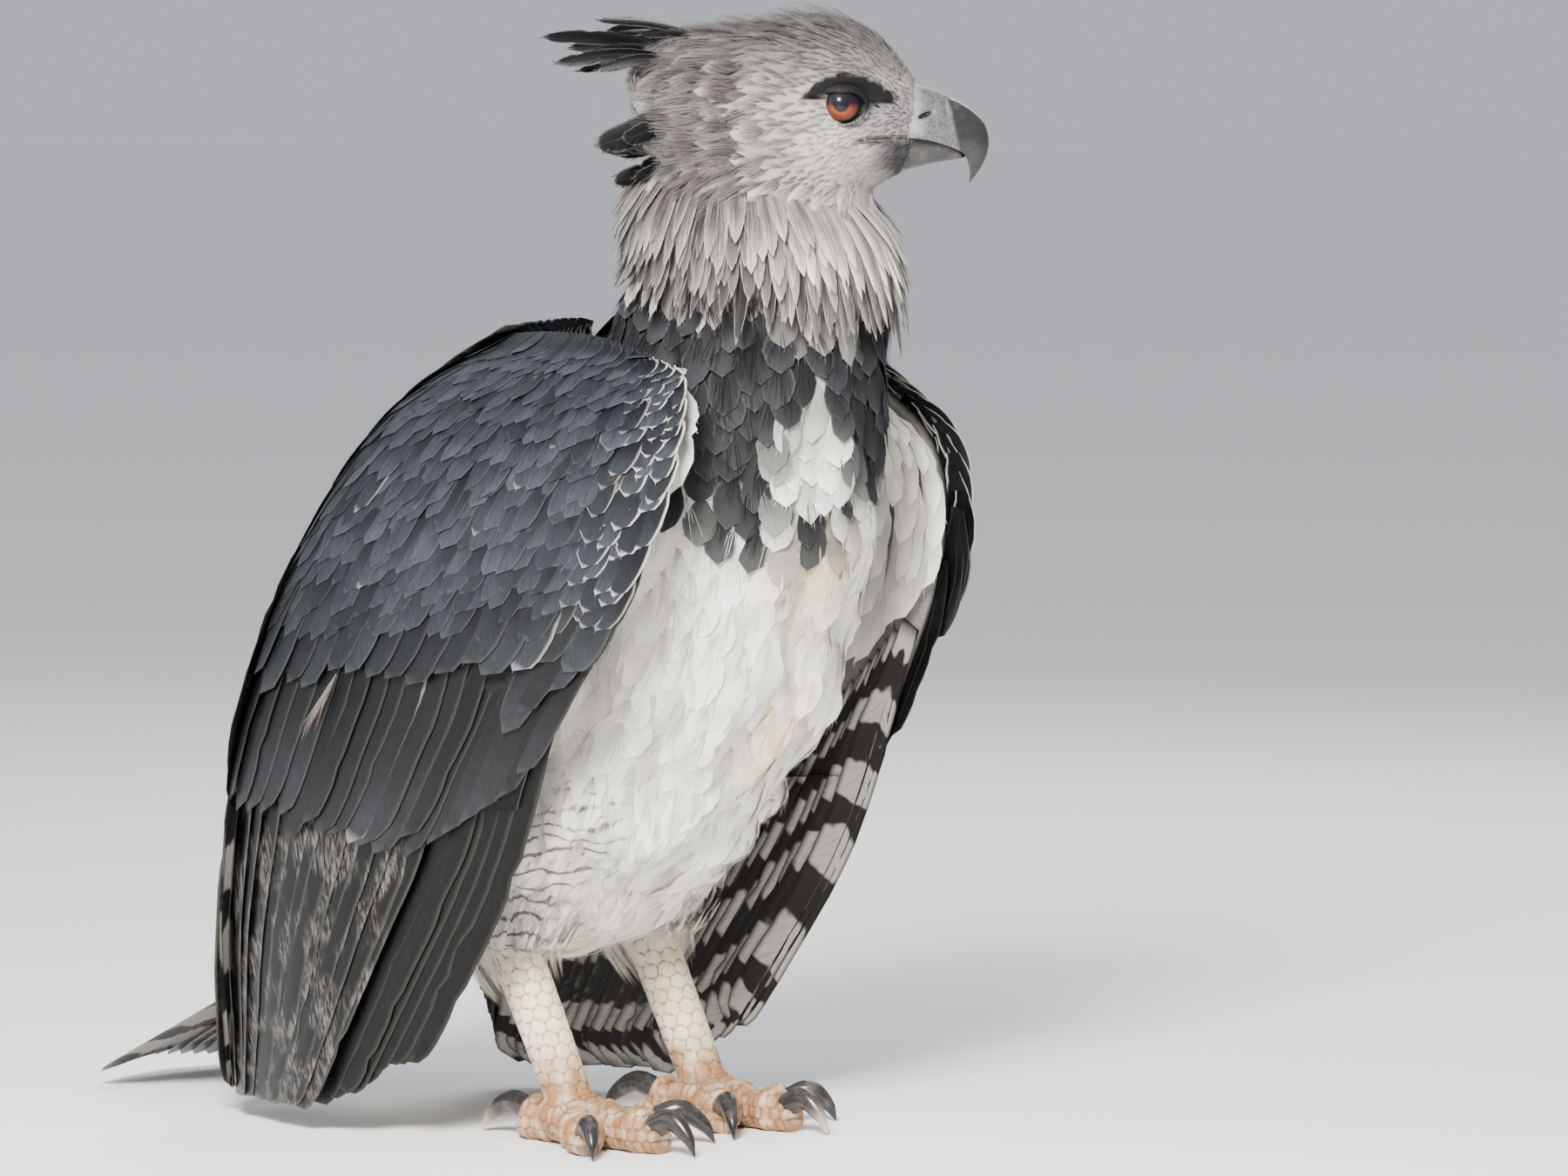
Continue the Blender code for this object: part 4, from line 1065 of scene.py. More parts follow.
def finish_coat(name, woven, tint, material, slot, roots, **values):
    """A coat piece from a set of feathers, with its two maps and a colour and values for each feather."""
    points, corners, sizes, edge, uv, under = woven
    n, per = points.shape[:2]
    corners = (corners[None] + (np.arange(n) * per)[:, None]).ravel()
    obj = add_mesh(name, points.reshape(-1, 3), (corners, np.tile(sizes, n)), material)
    mesh = obj.data
    mark_rims(mesh, np.tile(edge, n))
    place = np.stack([uv[..., 0] * 0.5 + 0.5, uv[..., 1]], axis=-1)
    set_uv(mesh, "Vane", place.reshape(-1, 2))
    set_uv(mesh, "OFBake", (skin_places(roots)[:, None] + place * 0.003).reshape(-1, 2))
    set_values(mesh, tint=np.repeat(tint, per, axis=0), under=np.tile(under, n))
    values = {"edge": 0.0, "bars": 0.0, "underpale": 0.0, **values, "seed": random.random(n)}
    for key, value in values.items():
        set_values(mesh, **{key: np.repeat(np.broadcast_to(np.asarray(value, float), n), per)})
    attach(obj, "root")
    return obj


def mark_rims(mesh, edge):
    """Keeps a vane's edge crisp, so that its two faces aren't shaded as one round form."""
    ends = np.empty(len(mesh.edges) * 2, np.int32)
    mesh.edges.foreach_get("vertices", ends)
    sharp = edge[ends.reshape(-1, 2)].all(axis=1)
    layer = mesh.attributes.new("sharp_edge", "BOOLEAN", "EDGE")
    layer.data.foreach_set("value", sharp)


class SkinMap:
    """Looks up the nearest place on the skin: its point, its normal and its spot on the unwrap."""

    def __init__(self, obj):
        mesh = obj.data
        self.points = points_of(obj)
        self.faces = np.array([face.vertices[:] for face in mesh.polygons])
        self.normals = unit(normals_of(obj)[self.faces].mean(axis=1))
        self.tree = BVHTree.FromPolygons(self.points.tolist(), self.faces.tolist())
        uv = np.empty(len(mesh.loops) * 2, np.float32)
        mesh.uv_layers["OFBake"].data.foreach_get("uv", uv)
        self.places = uv.reshape(len(self.faces), 4, 2).mean(axis=1)

    def faces_near(self, points):
        near = [self.tree.find_nearest(point) for point in points.tolist()]
        return np.array([hit[0][:] for hit in near]), np.array([hit[2] for hit in near])

    def nearest(self, points):
        places, faces = self.faces_near(points)
        return places, self.normals[faces]


def skin_places(roots):
    return skin_map.places[skin_map.faces_near(roots)[1]]


def scatter(spacing):
    """Roots spread evenly over the skin, spacing(points) centimetres apart and left out where it is zero."""
    corners = skin_map.points[skin_map.faces]
    sides = corners[:, 2] - corners[:, 0], corners[:, 3] - corners[:, 1]
    area = np.linalg.norm(np.cross(*sides), axis=1) / 2
    apart = spacing(corners.mean(axis=1))
    weight = np.where(apart > 0, area / np.maximum(apart, 0.05) ** 2, 0.0)
    count = int(5 * weight.sum())
    chosen = random.choice(len(weight), count, p=weight / weight.sum())
    a, b = random.random((2, count, 1))
    quad = corners[chosen]
    points = (quad[:, 0] * (1 - a) + quad[:, 1] * a) * (1 - b) + (quad[:, 3] * (1 - a) + quad[:, 2] * a) * b
    apart = apart[chosen]
    tree = kdtree.KDTree(count)
    for i, point in enumerate(points.tolist()):
        tree.insert(point, i)
    tree.balance()
    dropped = np.zeros(count, bool)
    kept = []
    for i, point in enumerate(points.tolist()):
        if dropped[i]:
            continue
        kept.append(i)
        for _, other, _ in tree.find_range(point, apart[i]):
            dropped[other] = True
    return points[kept]


# How far the body's feathers lean back, in degrees, at heights over the floor.
LIE_SLOPES = [12, 20, 30, 40, 50], [60, 42, 28, 10, 0]


def lie(points):
    """The way the feathers lie: back from the bill over the head, then down the neck and the body."""
    away = bird_to_head(points) - np.array((8.6, 0.0, -0.6))
    head = unit(head_to_bird(away) - np.array(HEAD_CENTRE))
    x, z = points[:, 0], points[:, 2]
    slope = np.radians(np.interp(z, *LIE_SLOPES))
    body = np.stack([0 * z, np.sin(slope), -np.cos(slope)], axis=1)
    leg = (smooth_step(3.5, 5.0, np.abs(x)) * smooth_step(29, 25, z))[:, None]
    body = body * (1 - leg) + np.array((0.0, 0.35, -0.94)) * leg
    share = smooth_step(56.5, 62.5, z)[:, None]
    return unit(body * (1 - share) + head * share)


def trace(roots, lengths, stations, swirl=0.0):
    """Lines that follow the skin from their roots along the lie of the coat, with the skin's normals."""
    point, normal = skin_map.nearest(roots)
    step = (lengths / (stations - 1))[:, None]
    turn = swirl * random.standard_normal(len(roots))[:, None]
    lines, normals = [point], [normal]
    for _ in range(stations - 1):
        ahead = lie(point)
        ahead = ahead + turn * np.cross(normal, ahead)
        ahead = unit(ahead - normal * np.sum(ahead * normal, axis=1, keepdims=True))
        point, normal = skin_map.nearest(point + ahead * step)
        lines.append(point)
        normals.append(normal)
    return np.stack(lines, axis=1), unit(np.stack(normals, axis=1))


PIECE_TRIANGLES = 170000


def pieces_of(name, roots, triangles):
    """Names and groups of roots for pieces that each stay under the limit, from the triangles of one root."""
    count = max(1, math.ceil(len(roots) * triangles / PIECE_TRIANGLES))
    order = np.argsort(roots[:, 0] + 0.2 * roots[:, 2])
    for k, group in enumerate(np.array_split(order, count)):
        yield (name if count == 1 else f"{name}_{k + 1}"), group


def body_tufts(name, roots, material, slot, length, strands, spread, lifts, radius, swirl=0.15, shade=0.1,
               tint=None, stations=4, **settings):
    """Coat pieces of tufts on the skin; each value is one number or one per root.

    A tuft takes the skin's colour half way along it, unless it is given one.
    """
    n = len(roots)
    length, spread, low, high, radius = each(n, length, spread, *lifts, radius)
    length *= 1 + 0.15 * random.standard_normal(n).clip(-2, 2)
    for label, group in pieces_of(name, roots, strands * (6 * (stations - 2) + 4)):
        lines, normals = trace(roots[group], length[group], 5, swirl)
        woven = tufts(lines, normals, strands, spread[group], (low[group], high[group]), radius[group],
                      stations, **settings)
        middle = lines[:, 2]
        colour = skin_tint(middle) if tint is None else tint[group]
        colour = colour * (1 + shade * random.uniform(-1, 1, (len(group), 1)))
        finish_coat(label, woven, colour, material, slot, roots[group], length=length[group],
                    width=spread[group], legbars=leg_bars(middle))


def body_feathers(name, roots, slot, length, half, lifts, barbs, barb_length, barb_radius, camber, chance=0.1,
                  shade=0.0, edge=0.0, material=None):
    """Coat pieces of small vaned feathers on the skin, in its colours and with loose barbs at their edges."""
    n, stations, columns = len(roots), 7, 5
    length, half, low, high = each(n, length, half, *lifts)
    length *= 1 + 0.08 * random.standard_normal(n).clip(-2, 2)
    outline = blade(stations, root_share=0.4, widest=0.5, tip_from=0.45, tip_power=2.0)
    f = np.linspace(0, 1, stations)
    for label, group in pieces_of(name, roots, 4 * (columns - 1) * (stations - 1) + 10 * barbs):
        m = len(group)
        lines, normals = trace(roots[group], length[group], stations, 0.06)
        rise = low[group, None] * (1 - f) + high[group, None] * f
        shares = ragged(m, outline, chance, 0.2)
        tilt = 0.06 * random.standard_normal(m)
        vane = lines + normals * rise[..., None], normals, half[group], shares, camber, tilt
        woven = vaned(vane, columns, barbs, barb_length, barb_radius)
        colour = skin_tint(roots[group]) * (1 + shade * random.uniform(-1, 1, (m, 1)))
        finish_coat(label, woven, colour, material or soft_material, slot, roots[group],
                    length=length[group], width=half[group], edge=edge, legbars=leg_bars(roots[group]))


# Rows of the wing's feathers over its outer face: first and last root, first and last tip, half width in
# centimetres, and the lift over the wing's surface at root and tip.
FLIGHT_ROWS = {
    "primaries": {
        "count": 9, "roots": ((0.05, 0.4), (0.16, 0.5)), "tips": ((0.05, 0.9), (0.3, 0.99)),
        "half_width": 1.75, "lifts": (-1.1, -0.75),
    },
    "secondaries": {
        "count": 16, "roots": ((0.2, 0.5), (0.78, 0.42)), "tips": ((0.33, 0.985), (0.79, 0.99)),
        "half_width": 1.7, "lifts": (-0.8, 0.0),
    },
}
COVERT_ROWS = {
    "alula": {
        "count": 4, "roots": ((0.0, 0.26), (0.07, 0.3)), "tips": ((0.02, 0.42), (0.1, 0.48)),
        "half_width": 1.2, "lifts": (-0.5, 0.1),
    },
    "primary_coverts": {
        "count": 7, "roots": ((0.02, 0.32), (0.17, 0.38)), "tips": ((0.04, 0.54), (0.21, 0.62)),
        "half_width": 1.3, "lifts": (-0.8, -0.05),
    },
    "greater_coverts": {
        "count": 15, "roots": ((0.2, 0.38), (0.77, 0.34)), "tips": ((0.24, 0.61), (0.78, 0.57)),
        "half_width": 1.75, "lifts": (-0.6, 0.1),
    },
    "median_coverts": {
        "count": 17, "roots": ((0.03, 0.26), (0.78, 0.26)), "tips": ((0.04, 0.41), (0.78, 0.46)),
        "half_width": 1.6, "lifts": (-0.5, 0.2),
    },
}
# The lesser coverts lie in many short rows: tip heights of the first and last row, and feathers in a row.
LESSER_ROWS = 15
LESSER_TIPS = (0.035, 0.375)
LESSER_LENGTH = 0.085
LESSER_COUNT = 27
LESSER_HALF = 1.15
SCAPULAR_ROWS = {
    "tertials": {
        "count": 6, "roots": ((0.8, 0.42), (0.98, 0.4)), "tips": ((0.8, 0.97), (0.95, 0.88)),
        "half_width": 1.8, "lifts": (-0.7, 0.2),
    },
    "long_scapulars": {
        "count": 6, "roots": ((0.8, 0.3), (0.98, 0.28)), "tips": ((0.8, 0.58), (0.97, 0.54)),
        "half_width": 1.7, "lifts": (-0.6, 0.3),
    },
}
SHORT_SCAPULAR_ROWS = 10
SHORT_SCAPULAR_TIPS = (0.06, 0.46)
UNDER_ROWS = 11
UNDER_COUNT = 20
# How thick the wing is under its outer face, by share of its length.
WING_DEPTH = [(0.0, 1.9), (0.45, 1.5), (0.6, 0.9)]


def wing_depth(v):
    return np.interp(v, *zip(*WING_DEPTH))


def wing_tint(u, v):
    """Slate, lighter on the shoulder with a painted blue sheen, browner and darker towards the flight
    feathers.
    """
    n = len(u)
    tint = blend(tint_of(WING_BLUE, n), WING_SLATE, smooth_step(0.24, 0.42, v))
    tint = blend(tint, WING_BROWN, smooth_step(0.62, 0.8, v))
    return tint * (0.5 + random.random((n, 1)))


ROW_VALUES = ("length", "width", "edge", "bars", "underpale")


def wing_row(side, row, stations, columns, outline, tilt=0.14, camber=0.1, edge=0.3, bars=0.0, pale=0.0,
             chance=0.05, depth=0.15, tint=None, barbs=0, barb_length=0.25, under=False):
    """A row of feathers over the wing's outer face or under its inner one: the set, its roots and values."""
    surface = wing_surface(side)
    roots, tips, half, lifts = row_of(**row)
    n = len(roots)
    turn = -1.0 if under else 1.0
    if under:
        deep = np.stack([wing_depth(roots[:, 1]), wing_depth(tips[:, 1])], axis=1)
        lifts = -deep - lifts
    lines, normals = lay_on(surface, -side, roots, tips, lifts, stations)
    normals = normals * turn
    length = np.linalg.norm(np.diff(lines, axis=1), axis=2).sum(axis=1)
    shares = ragged(n, outline, chance, depth)
    turned = tilt + 0.03 * random.standard_normal(n)
    sign = -side * turn
    vane = lines, normals, half, shares, camber, turned
    if barbs:
        woven = vaned(vane, columns, barbs, barb_length, 0.025, 0.35, sign)
    else:
        woven = weave(*vane, columns, sign)
    if tint is None:
        tint = wing_tint(tips[:, 0], (roots[:, 1] + tips[:, 1]) / 2)
    edge = edge(tips) if callable(edge) else edge
    return woven, lines[:, 0], tint, each(n, length, half, edge, bars, pale)


def finish_rows(name, rows, slot="plumage_slate"):
    """One coat piece from rows of like feathers, each with its set, its roots, its tint and its values."""
    sets, roots, tints, values = zip(*rows)
    values = [np.concatenate(value) for value in zip(*values)]
    material = vane_material if slot == "plumage_slate" else soft_material
    finish_coat(name, stacked(sets), np.concatenate(tints), material, slot, np.concatenate(roots),
                **dict(zip(ROW_VALUES, values)))


CORE_COUNT = 24


def wing_core(letter, side):
    """The arm between the upper and lower feathers."""
    surface = wing_surface(side)
    rings = []
    u = np.linspace(0.03, 0.97, CORE_COUNT)
    for v in np.linspace(0.03, 0.58, CORE_COUNT):
        top = surface(u, np.full(CORE_COUNT, v))
        normal = -side * surface_normals(surface, u, np.full(CORE_COUNT, v))
        thick = (wing_depth(v) - 0.5) * (0.25 + 0.75 * np.sin(np.pi * u) ** 0.5)[:, None]
        rings.append(np.concatenate([top - 0.5 * normal, (top - 0.5 * normal - thick * normal)[::-1]]))
    ring = np.repeat([CORE_DARK, CORE_PALE], CORE_COUNT, axis=0)
    tint = np.concatenate([tint_of(ring, CORE_COUNT), np.zeros((2, 3))])
    core = closed_piece(f"wing_core_{letter}", *tube_points(rings), skin_material, tint=tint)
    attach(core, "root")
    return core


def wrist_edge(tips):
    """Pale fringes, broad along the wing's front edge and faint elsewhere, with a few flecks."""
    front = smooth_step(0.13, 0.03, tips[:, 0]) * smooth_step(0.42, 0.3, tips[:, 1])
    flecks = (random.random(len(tips)) < 0.02) * smooth_step(0.1, 0.2, tips[:, 1])
    return 0.03 + 0.8 * np.maximum(front, 0.3 * flecks)


def wing_down(letter, side):
    """A white downy tuft that shows between the coverts."""
    n = 4
    roots = np.stack([0.485 + 0.007 * np.arange(n), 0.435 + 0.008 * np.arange(n)], axis=1)
    tips = roots + (0.01, 0.055)
    lines, normals = lay_on(wing_surface(side), -side, roots, tips, np.tile((0.1, 0.35), (n, 1)), 8)
    fan = tufts(lines, normals, 14, 0.5, (0.05, 0.35), 0.014, fray=0.8, shortest=0.3)
    finish_coat(f"wing_down_{letter}", fan, tint_of(BEARD, n), soft_material, "plumage_white", lines[:, 0],
                length=3.0, width=0.5)


def lesser_rows(side):
    """Small feathers over the wing's shoulder, in rows set off against one another."""
    outline = blade(9, root_share=0.5, widest=0.4, tip_from=0.5)
    rows = []
    for k, tip in enumerate(np.linspace(*LESSER_TIPS, LESSER_ROWS)):
        shift = 0.4 * (k % 2) / LESSER_COUNT
        root = max(tip - LESSER_LENGTH, 0.0)
        row = {
            "count": LESSER_COUNT, "roots": ((shift, root), (0.78 + shift, root)),
            "tips": ((shift, tip), (0.78 + shift, tip + 0.035)),
            "half_width": LESSER_HALF, "lifts": (-0.15, 0.16), "jitter": 0.25,
        }
        rows.append(wing_row(side, row, 9, 5, outline, edge=wrist_edge, camber=0.1, tilt=0.08, barbs=4))
    return rows


def short_scapular_rows(side):
    """Feathers that cover the join of wing and back."""
    rows = []
    for k, tip in enumerate(np.linspace(*SHORT_SCAPULAR_TIPS, SHORT_SCAPULAR_ROWS)):
        shift = 0.015 * (k % 2)
        root = max(tip - 0.11, 0.0)
        row = {
            "count": 9, "roots": ((0.79 + shift, root), (0.98 + shift, root)),
            "tips": ((0.79 + shift, tip + 0.01), (0.98 + shift, tip)),
            "half_width": 1.35, "lifts": (-0.15, 0.3),
        }
        rows.append(wing_row(side, row, 10, 5, blade(10, 0.45, 0.4, 0.55), edge=0.15, barbs=12))
    return rows


def make_wing(letter, side):
    """Core, flight feathers, coverts above and below, scapulars and tertials."""
    core = wing_core(letter, side)
    outline = blade(26, root_share=0.5, widest=0.3, tip_from=0.88, tip_power=2.0)
    black = tint_of(PRIMARY_BLACK, FLIGHT_ROWS["primaries"]["count"])
    finish_rows(f"flight_feathers_{letter}", [
        wing_row(side, FLIGHT_ROWS["primaries"], 26, 9, outline, pale=1.0, edge=0.03, bars=0.03, tilt=0.2,
                 camber=0.14, tint=black),
        wing_row(side, FLIGHT_ROWS["secondaries"], 26, 9, outline, bars=1.0, pale=1.0, edge=0.05, tilt=0.24,
                 camber=0.16),
    ])
    outline = blade(14, root_share=0.4, widest=0.4, tip_from=0.66)
    finish_rows(f"coverts_{letter}", [
        wing_row(side, row, 14, 7, outline, edge=wrist_edge, tilt=0.2, camber=0.16, barbs=24)
        for row in COVERT_ROWS.values()
    ])
    finish_rows(f"lesser_coverts_{letter}", lesser_rows(side))
    for name, row in SCAPULAR_ROWS.items():
        stations, bars = (26, 0.3) if name == "tertials" else (14, 0.0)
        outline = blade(stations, root_share=0.5, widest=0.3, tip_from=0.75)
        long_row = wing_row(side, row, stations, 9, outline, edge=0.2, bars=bars, tilt=0.2, barbs=14)
        finish_rows(f"{name}_{letter}", [long_row])
    finish_rows(f"scapulars_{letter}", short_scapular_rows(side))
    finish_rows(f"under_coverts_{letter}", under_rows(side), "plumage_white")
    wing_down(letter, side)
    return core


def under_rows(side):
    """Soft white feathers on the wing's inner face, with dark ones scattered towards its flight feathers."""
    rows = []
    for k in range(UNDER_ROWS):
        v = 0.07 + 0.46 * k / (UNDER_ROWS - 1)
        front = 0.03 + 0.25 * float(smooth_step(0.33, 0.48, v))
        row = {
            "count": UNDER_COUNT, "roots": ((front, max(v - 0.08, 0.0)), (0.95, max(v - 0.08, 0.0))),
            "tips": ((front, v + 0.05), (0.95, v + 0.05)),
            "half_width": 1.35, "lifts": (0.0, 0.3), "jitter": 0.4,
        }
        dark = 0.8 * (random.random(UNDER_COUNT) < np.interp(v, [0.3, 0.5], [0.0, 0.25]))
        tint = blend(tint_of(WHITE, UNDER_COUNT), SLATE, 0.9 * dark)
        rows.append(wing_row(side, row, 9, 5, blade(9, 0.4, 0.4, 0.55), edge=0.1, tint=tint, chance=0.25,
                             depth=0.25, barbs=10, barb_length=0.5, under=True))
    return rows


# How thick the tail's root is, by share of the tail's length.
TAIL_ROOT_DEPTH = [(-0.08, 3.0), (0.05, 2.4), (0.15, 1.5), (0.25, 0.6)]


def make_tail():
    """Twelve tail feathers, the middle ones on top, with coverts over and under their roots."""
    n, stations = TAIL_COUNT, 26
    place = (np.arange(n) + 0.5) / n
    from_middle = np.abs(place - 0.5)
    roots = np.stack([0.5 + (place - 0.5) * 0.7, np.full(n, 0.05)], axis=1)
    tips = np.stack([place, 1.0 - 0.12 * from_middle**2], axis=1)
    lift = 1.2 * (0.5 - from_middle)
    lines, normals = lay_on(tail_surface, 1.0, roots, tips, np.stack([lift - 0.9, lift], axis=1), stations)
    outline = ragged(n, blade(stations, 0.6, 0.3, 0.88, 2.0), 0.05, 0.15)
    tilt = np.where(place > 0.5, -0.08, 0.08)
    half = np.full(n, 1.5)
    woven = weave(lines, normals, half, outline, 0.08, tilt, 9)
    barred = (*woven[:5], np.ones_like(woven[5]))
    finish_coat("tail_feathers", barred, tint_of(TAIL_BLACK, n), vane_material, "plumage_slate", lines[:, 0],
                length=TAIL_LENGTH, width=half, edge=0.1, bars=0.4, underpale=0.45)
    rings = []
    u = np.linspace(0, 1, CORE_COUNT)
    for v, thick in TAIL_ROOT_DEPTH:
        top = tail_surface(u, np.full(CORE_COUNT, v))
        normal = surface_normals(tail_surface, u, np.full(CORE_COUNT, max(v, 0.0)))
        rings.append(np.concatenate([top, (top - (thick - 0.3) * normal)[::-1]]))
    points, faces = tube_points(rings)
    root = closed_piece("tail_root", points, faces, skin_material, tint=tint_of(TAIL_ROOT_TINT, len(points)))
    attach(root, "root")
    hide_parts("tail")
    for flip, label in ((1.0, "upper"), (-1.0, "lower")):
        tail_coverts(flip, label)


def tail_coverts(flip, label):
    """Four rows of feathers over or under the tail's root: dark above; soft below, in cream that is partly
    painted warm shade.
    """
    tint, slot = (TAIL_COVERT, "plumage_slate") if flip > 0 else (CREAM, "plumage_white")
    count = 11
    rows = []
    for row in range(4):
        place = np.linspace(0.04, 0.96, count)
        start, end = -0.08 + 0.07 * row, 0.12 + 0.09 * row
        roots = np.stack([0.5 + (place - 0.5) * 0.9, np.full(count, start)], axis=1)
        tips = np.stack([place, np.full(count, end) + 0.01 * random.standard_normal(count)], axis=1)
        high, low = (0.0, 0.9 - 0.1 * row) if flip > 0 else (-2.6 + 0.6 * row, -1.4 + 0.3 * row)
        lines, normals = lay_on(tail_surface, 1.0, roots, tips, np.tile((high, low), (count, 1)), 12)
        normals = normals * flip
        shares = ragged(count, blade(12, 0.4, 0.4, 0.6), 0.2, 0.3)
        half = np.full(count, 1.3)
        woven = vaned((lines, normals, half, shares, 0.12, 0.0), 7, 28, 0.6, 0.03)
        rows.append((woven, lines[:, 0], tint_of(tint, count), each(count, 6.0, half, 0.3, 0.0, 0.0)))
    finish_rows(f"tail_coverts_{label}", rows, slot)


# Crest feathers in the head's frame: root, tip, half width.
CREST = [
    ((-6.4, 1.4, 3.4), (-15.5, 2.2, 4.5), 0.75),
    ((-6.4, -1.6, 3.0), (-14.6, -2.6, 2.8), 0.7),
    ((-4.2, -0.8, 4.2), (-12.0, -1.2, 5.6), 0.75),
    ((-4.4, 1.8, 4.2), (-11.4, 3.4, 4.9), 0.7),
    ((-7.0, -2.6, 0.4), (-11.9, -4.2, -2.3), 1.0),
    ((-7.0, 1.2, -1.2), (-11.9, 1.8, -2.4), 0.9),
    ((-7.0, -1.8, -2.4), (-10.8, -2.8, -4.6), 0.8),
    ((-6.6, 2.4, -3.0), (-10.6, 3.6, -4.9), 0.8),
]


def make_crest():
    """Long black feathers that fan out behind the crown, each with shorter ones beside it."""
    roots, tips, half = [], [], []
    for root, tip, width in CREST:
        root, tip = np.array(root), np.array(tip)
        for share, off, size in ((1.0, 0.0, 1.0), (0.82, 0.5, 0.8), (0.66, -0.5, 0.75)):
            roots.append(root + (0.2, off, -abs(off) * 0.4))
            tips.append(root + (tip - root) * share + (0.0, off * 1.6, -abs(off)))
            half.append(0.85 * width * size)
    roots, tips, half = np.array(roots), np.array(tips), np.array(half)
    n, stations = len(roots), 16
    f = np.linspace(0, 1, stations)
    bow = 0.5 * np.sin(np.pi * f)
    local = roots[:, None] + (tips - roots)[:, None] * f[None, :, None]
    local[..., 2] += bow * np.sign(local[:, -1:, 2] + 1.0)
    lines = head_to_bird(local.reshape(-1, 3)).reshape(n, stations, 3)
    forward = head_to_bird((1, 0, 0))[0] - head_to_bird((0, 0, 0))[0]
    outward = head_to_bird(roots * (0, 2.4, 1)) - np.array(HEAD_CENTRE)
    normals = unit(outward + 0.4 * forward)[:, None] * np.ones((1, stations, 1))
    shares = ragged(n, blade(stations, 0.35, 0.5, 0.7, 1.8), 0.12, 0.3)
    woven = vaned((lines, normals, half, shares, 0.2, 0.0), 7, 60, 0.35, 0.025)
    length = np.linalg.norm(tips - roots, axis=1)
    finish_coat("crest", woven, tint_of(CREST_BLACK, n), vane_material, "plumage_slate", lines[:, 0],
                length=length, width=half, edge=0.08)


# Rows of the ruff down the neck: height of roots and tips on the trunk, and lifts at both.
RUFF_ROWS = [
    {"root": 0.855, "tip": 0.724, "lifts": (-0.4, 0.8)},
    {"root": 0.862, "tip": 0.744, "lifts": (-0.35, 0.9)},
    {"root": 0.875, "tip": 0.768, "lifts": (-0.7, 1.0)},
    {"root": 0.89, "tip": 0.781, "lifts": (-0.8, 1.1)},
    {"root": 0.905, "tip": 0.795, "lifts": (-0.9, 1.1)},
    {"root": 0.92, "tip": 0.812, "lifts": (-1.0, 1.1)},
]
RUFF_COUNT = 46
RUFF_HALF = 0.52


def make_ruff():
    """Rows of long, narrow grey feathers round the neck, each with a fan of loose barbs over it."""
    n = RUFF_COUNT
    for k, row in enumerate(RUFF_ROWS):
        u = (np.arange(n) + 0.5 * (k % 2)) / n + 0.006 * random.standard_normal(n)
        roots = np.stack([u, np.full(n, row["root"])], axis=1)
        tips = np.stack([u, row["tip"] + 0.014 * random.standard_normal(n)], axis=1)
        lifts = np.tile(row["lifts"], (n, 1)) + 0.14 * random.standard_normal((n, 2))
        lines, normals = lay_on(trunk_surface, -1.0, roots, tips, lifts, 10)
        half = RUFF_HALF * (1 + 0.12 * random.standard_normal(n))
        shares = ragged(n, blade(10, 0.5, 0.4, 0.45, 1.6), 0.1, 0.2)
        woven = weave(lines, normals, half, shares, 0.25, 0.0, 5)
        fan = tufts(lines, normals, 16, half * 1.3, (0.05, 0.14), 0.02)
        depth = np.interp(k, [0, 1, 3], [0.25, 0.5, 1.0])
        tint = skin_tint(lines[:, 5] + (0, 0, 2.5)) * (0.5 + 0.68 * random.random((n, 1))) * depth
        finish_coat(f"ruff_{k + 1}", joined(woven, fan), tint, ruff_material, "plumage_grey", lines[:, 0],
                    length=7.0, width=half, edge=0.4)


# Stations of the bill, base first: top (x, z), cutting edge (x, z), half width.
BILL_UPPER = [
    ((6.8, 1.65), (5.6, -1.95), 2.1),
    ((7.9, 1.55), (6.9, -1.9), 2.1),
    ((8.9, 1.3), (8.2, -1.92), 1.95),
    ((9.9, 0.98), (9.2, -2.05), 1.72),
    ((10.9, 0.55), (10.1, -2.3), 1.48),
    ((12.0, -0.15), (10.9, -2.6), 1.2),
    ((12.75, -0.95), (11.3, -2.8), 1.0),
    ((13.05, -1.95), (11.55, -3.05), 0.8),
    ((12.95, -2.95), (11.75, -3.5), 0.58),
    ((12.5, -3.9), (11.85, -4.1), 0.34),
    ((11.85, -4.8), (11.8, -4.75), 0.04),
]
BILL_LOWER = [
    ((5.2, -1.9), (5.4, -4.2), 2.0),
    ((6.6, -1.85), (6.9, -4.15), 1.9),
    ((8.1, -1.85), (8.3, -3.85), 1.65),
    ((9.3, -1.95), (9.5, -3.55), 1.35),
    ((10.4, -2.2), (10.6, -3.35), 1.05),
    ((11.15, -2.5), (11.4, -3.2), 0.62),
    ((11.5, -2.8), (11.62, -3.05), 0.12),
]
CERE_X = 10.6
CERE_LEAN = 0.22
WRINKLES = 0.06
NOSTRIL = (8.95, -0.45)
NOSTRIL_TURN = 24.0
NOSTRIL_SIZE = (0.5, 0.16)


def nostril_share(local):
    """1 in the middle of the slit and 0 away from it."""
    turn = math.radians(NOSTRIL_TURN)
    x, z = local[:, 0] - NOSTRIL[0], local[:, 2] - NOSTRIL[1]
    long = x * math.cos(turn) + z * math.sin(turn)
    wide = z * math.cos(turn) - x * math.sin(turn)
    return np.exp(-((long / NOSTRIL_SIZE[0]) ** 4) - (wide / NOSTRIL_SIZE[1]) ** 2)


def cere_share(local):
    return smooth_step(0.12, -0.12, local[:, 0] + CERE_LEAN * local[:, 2] - CERE_X)


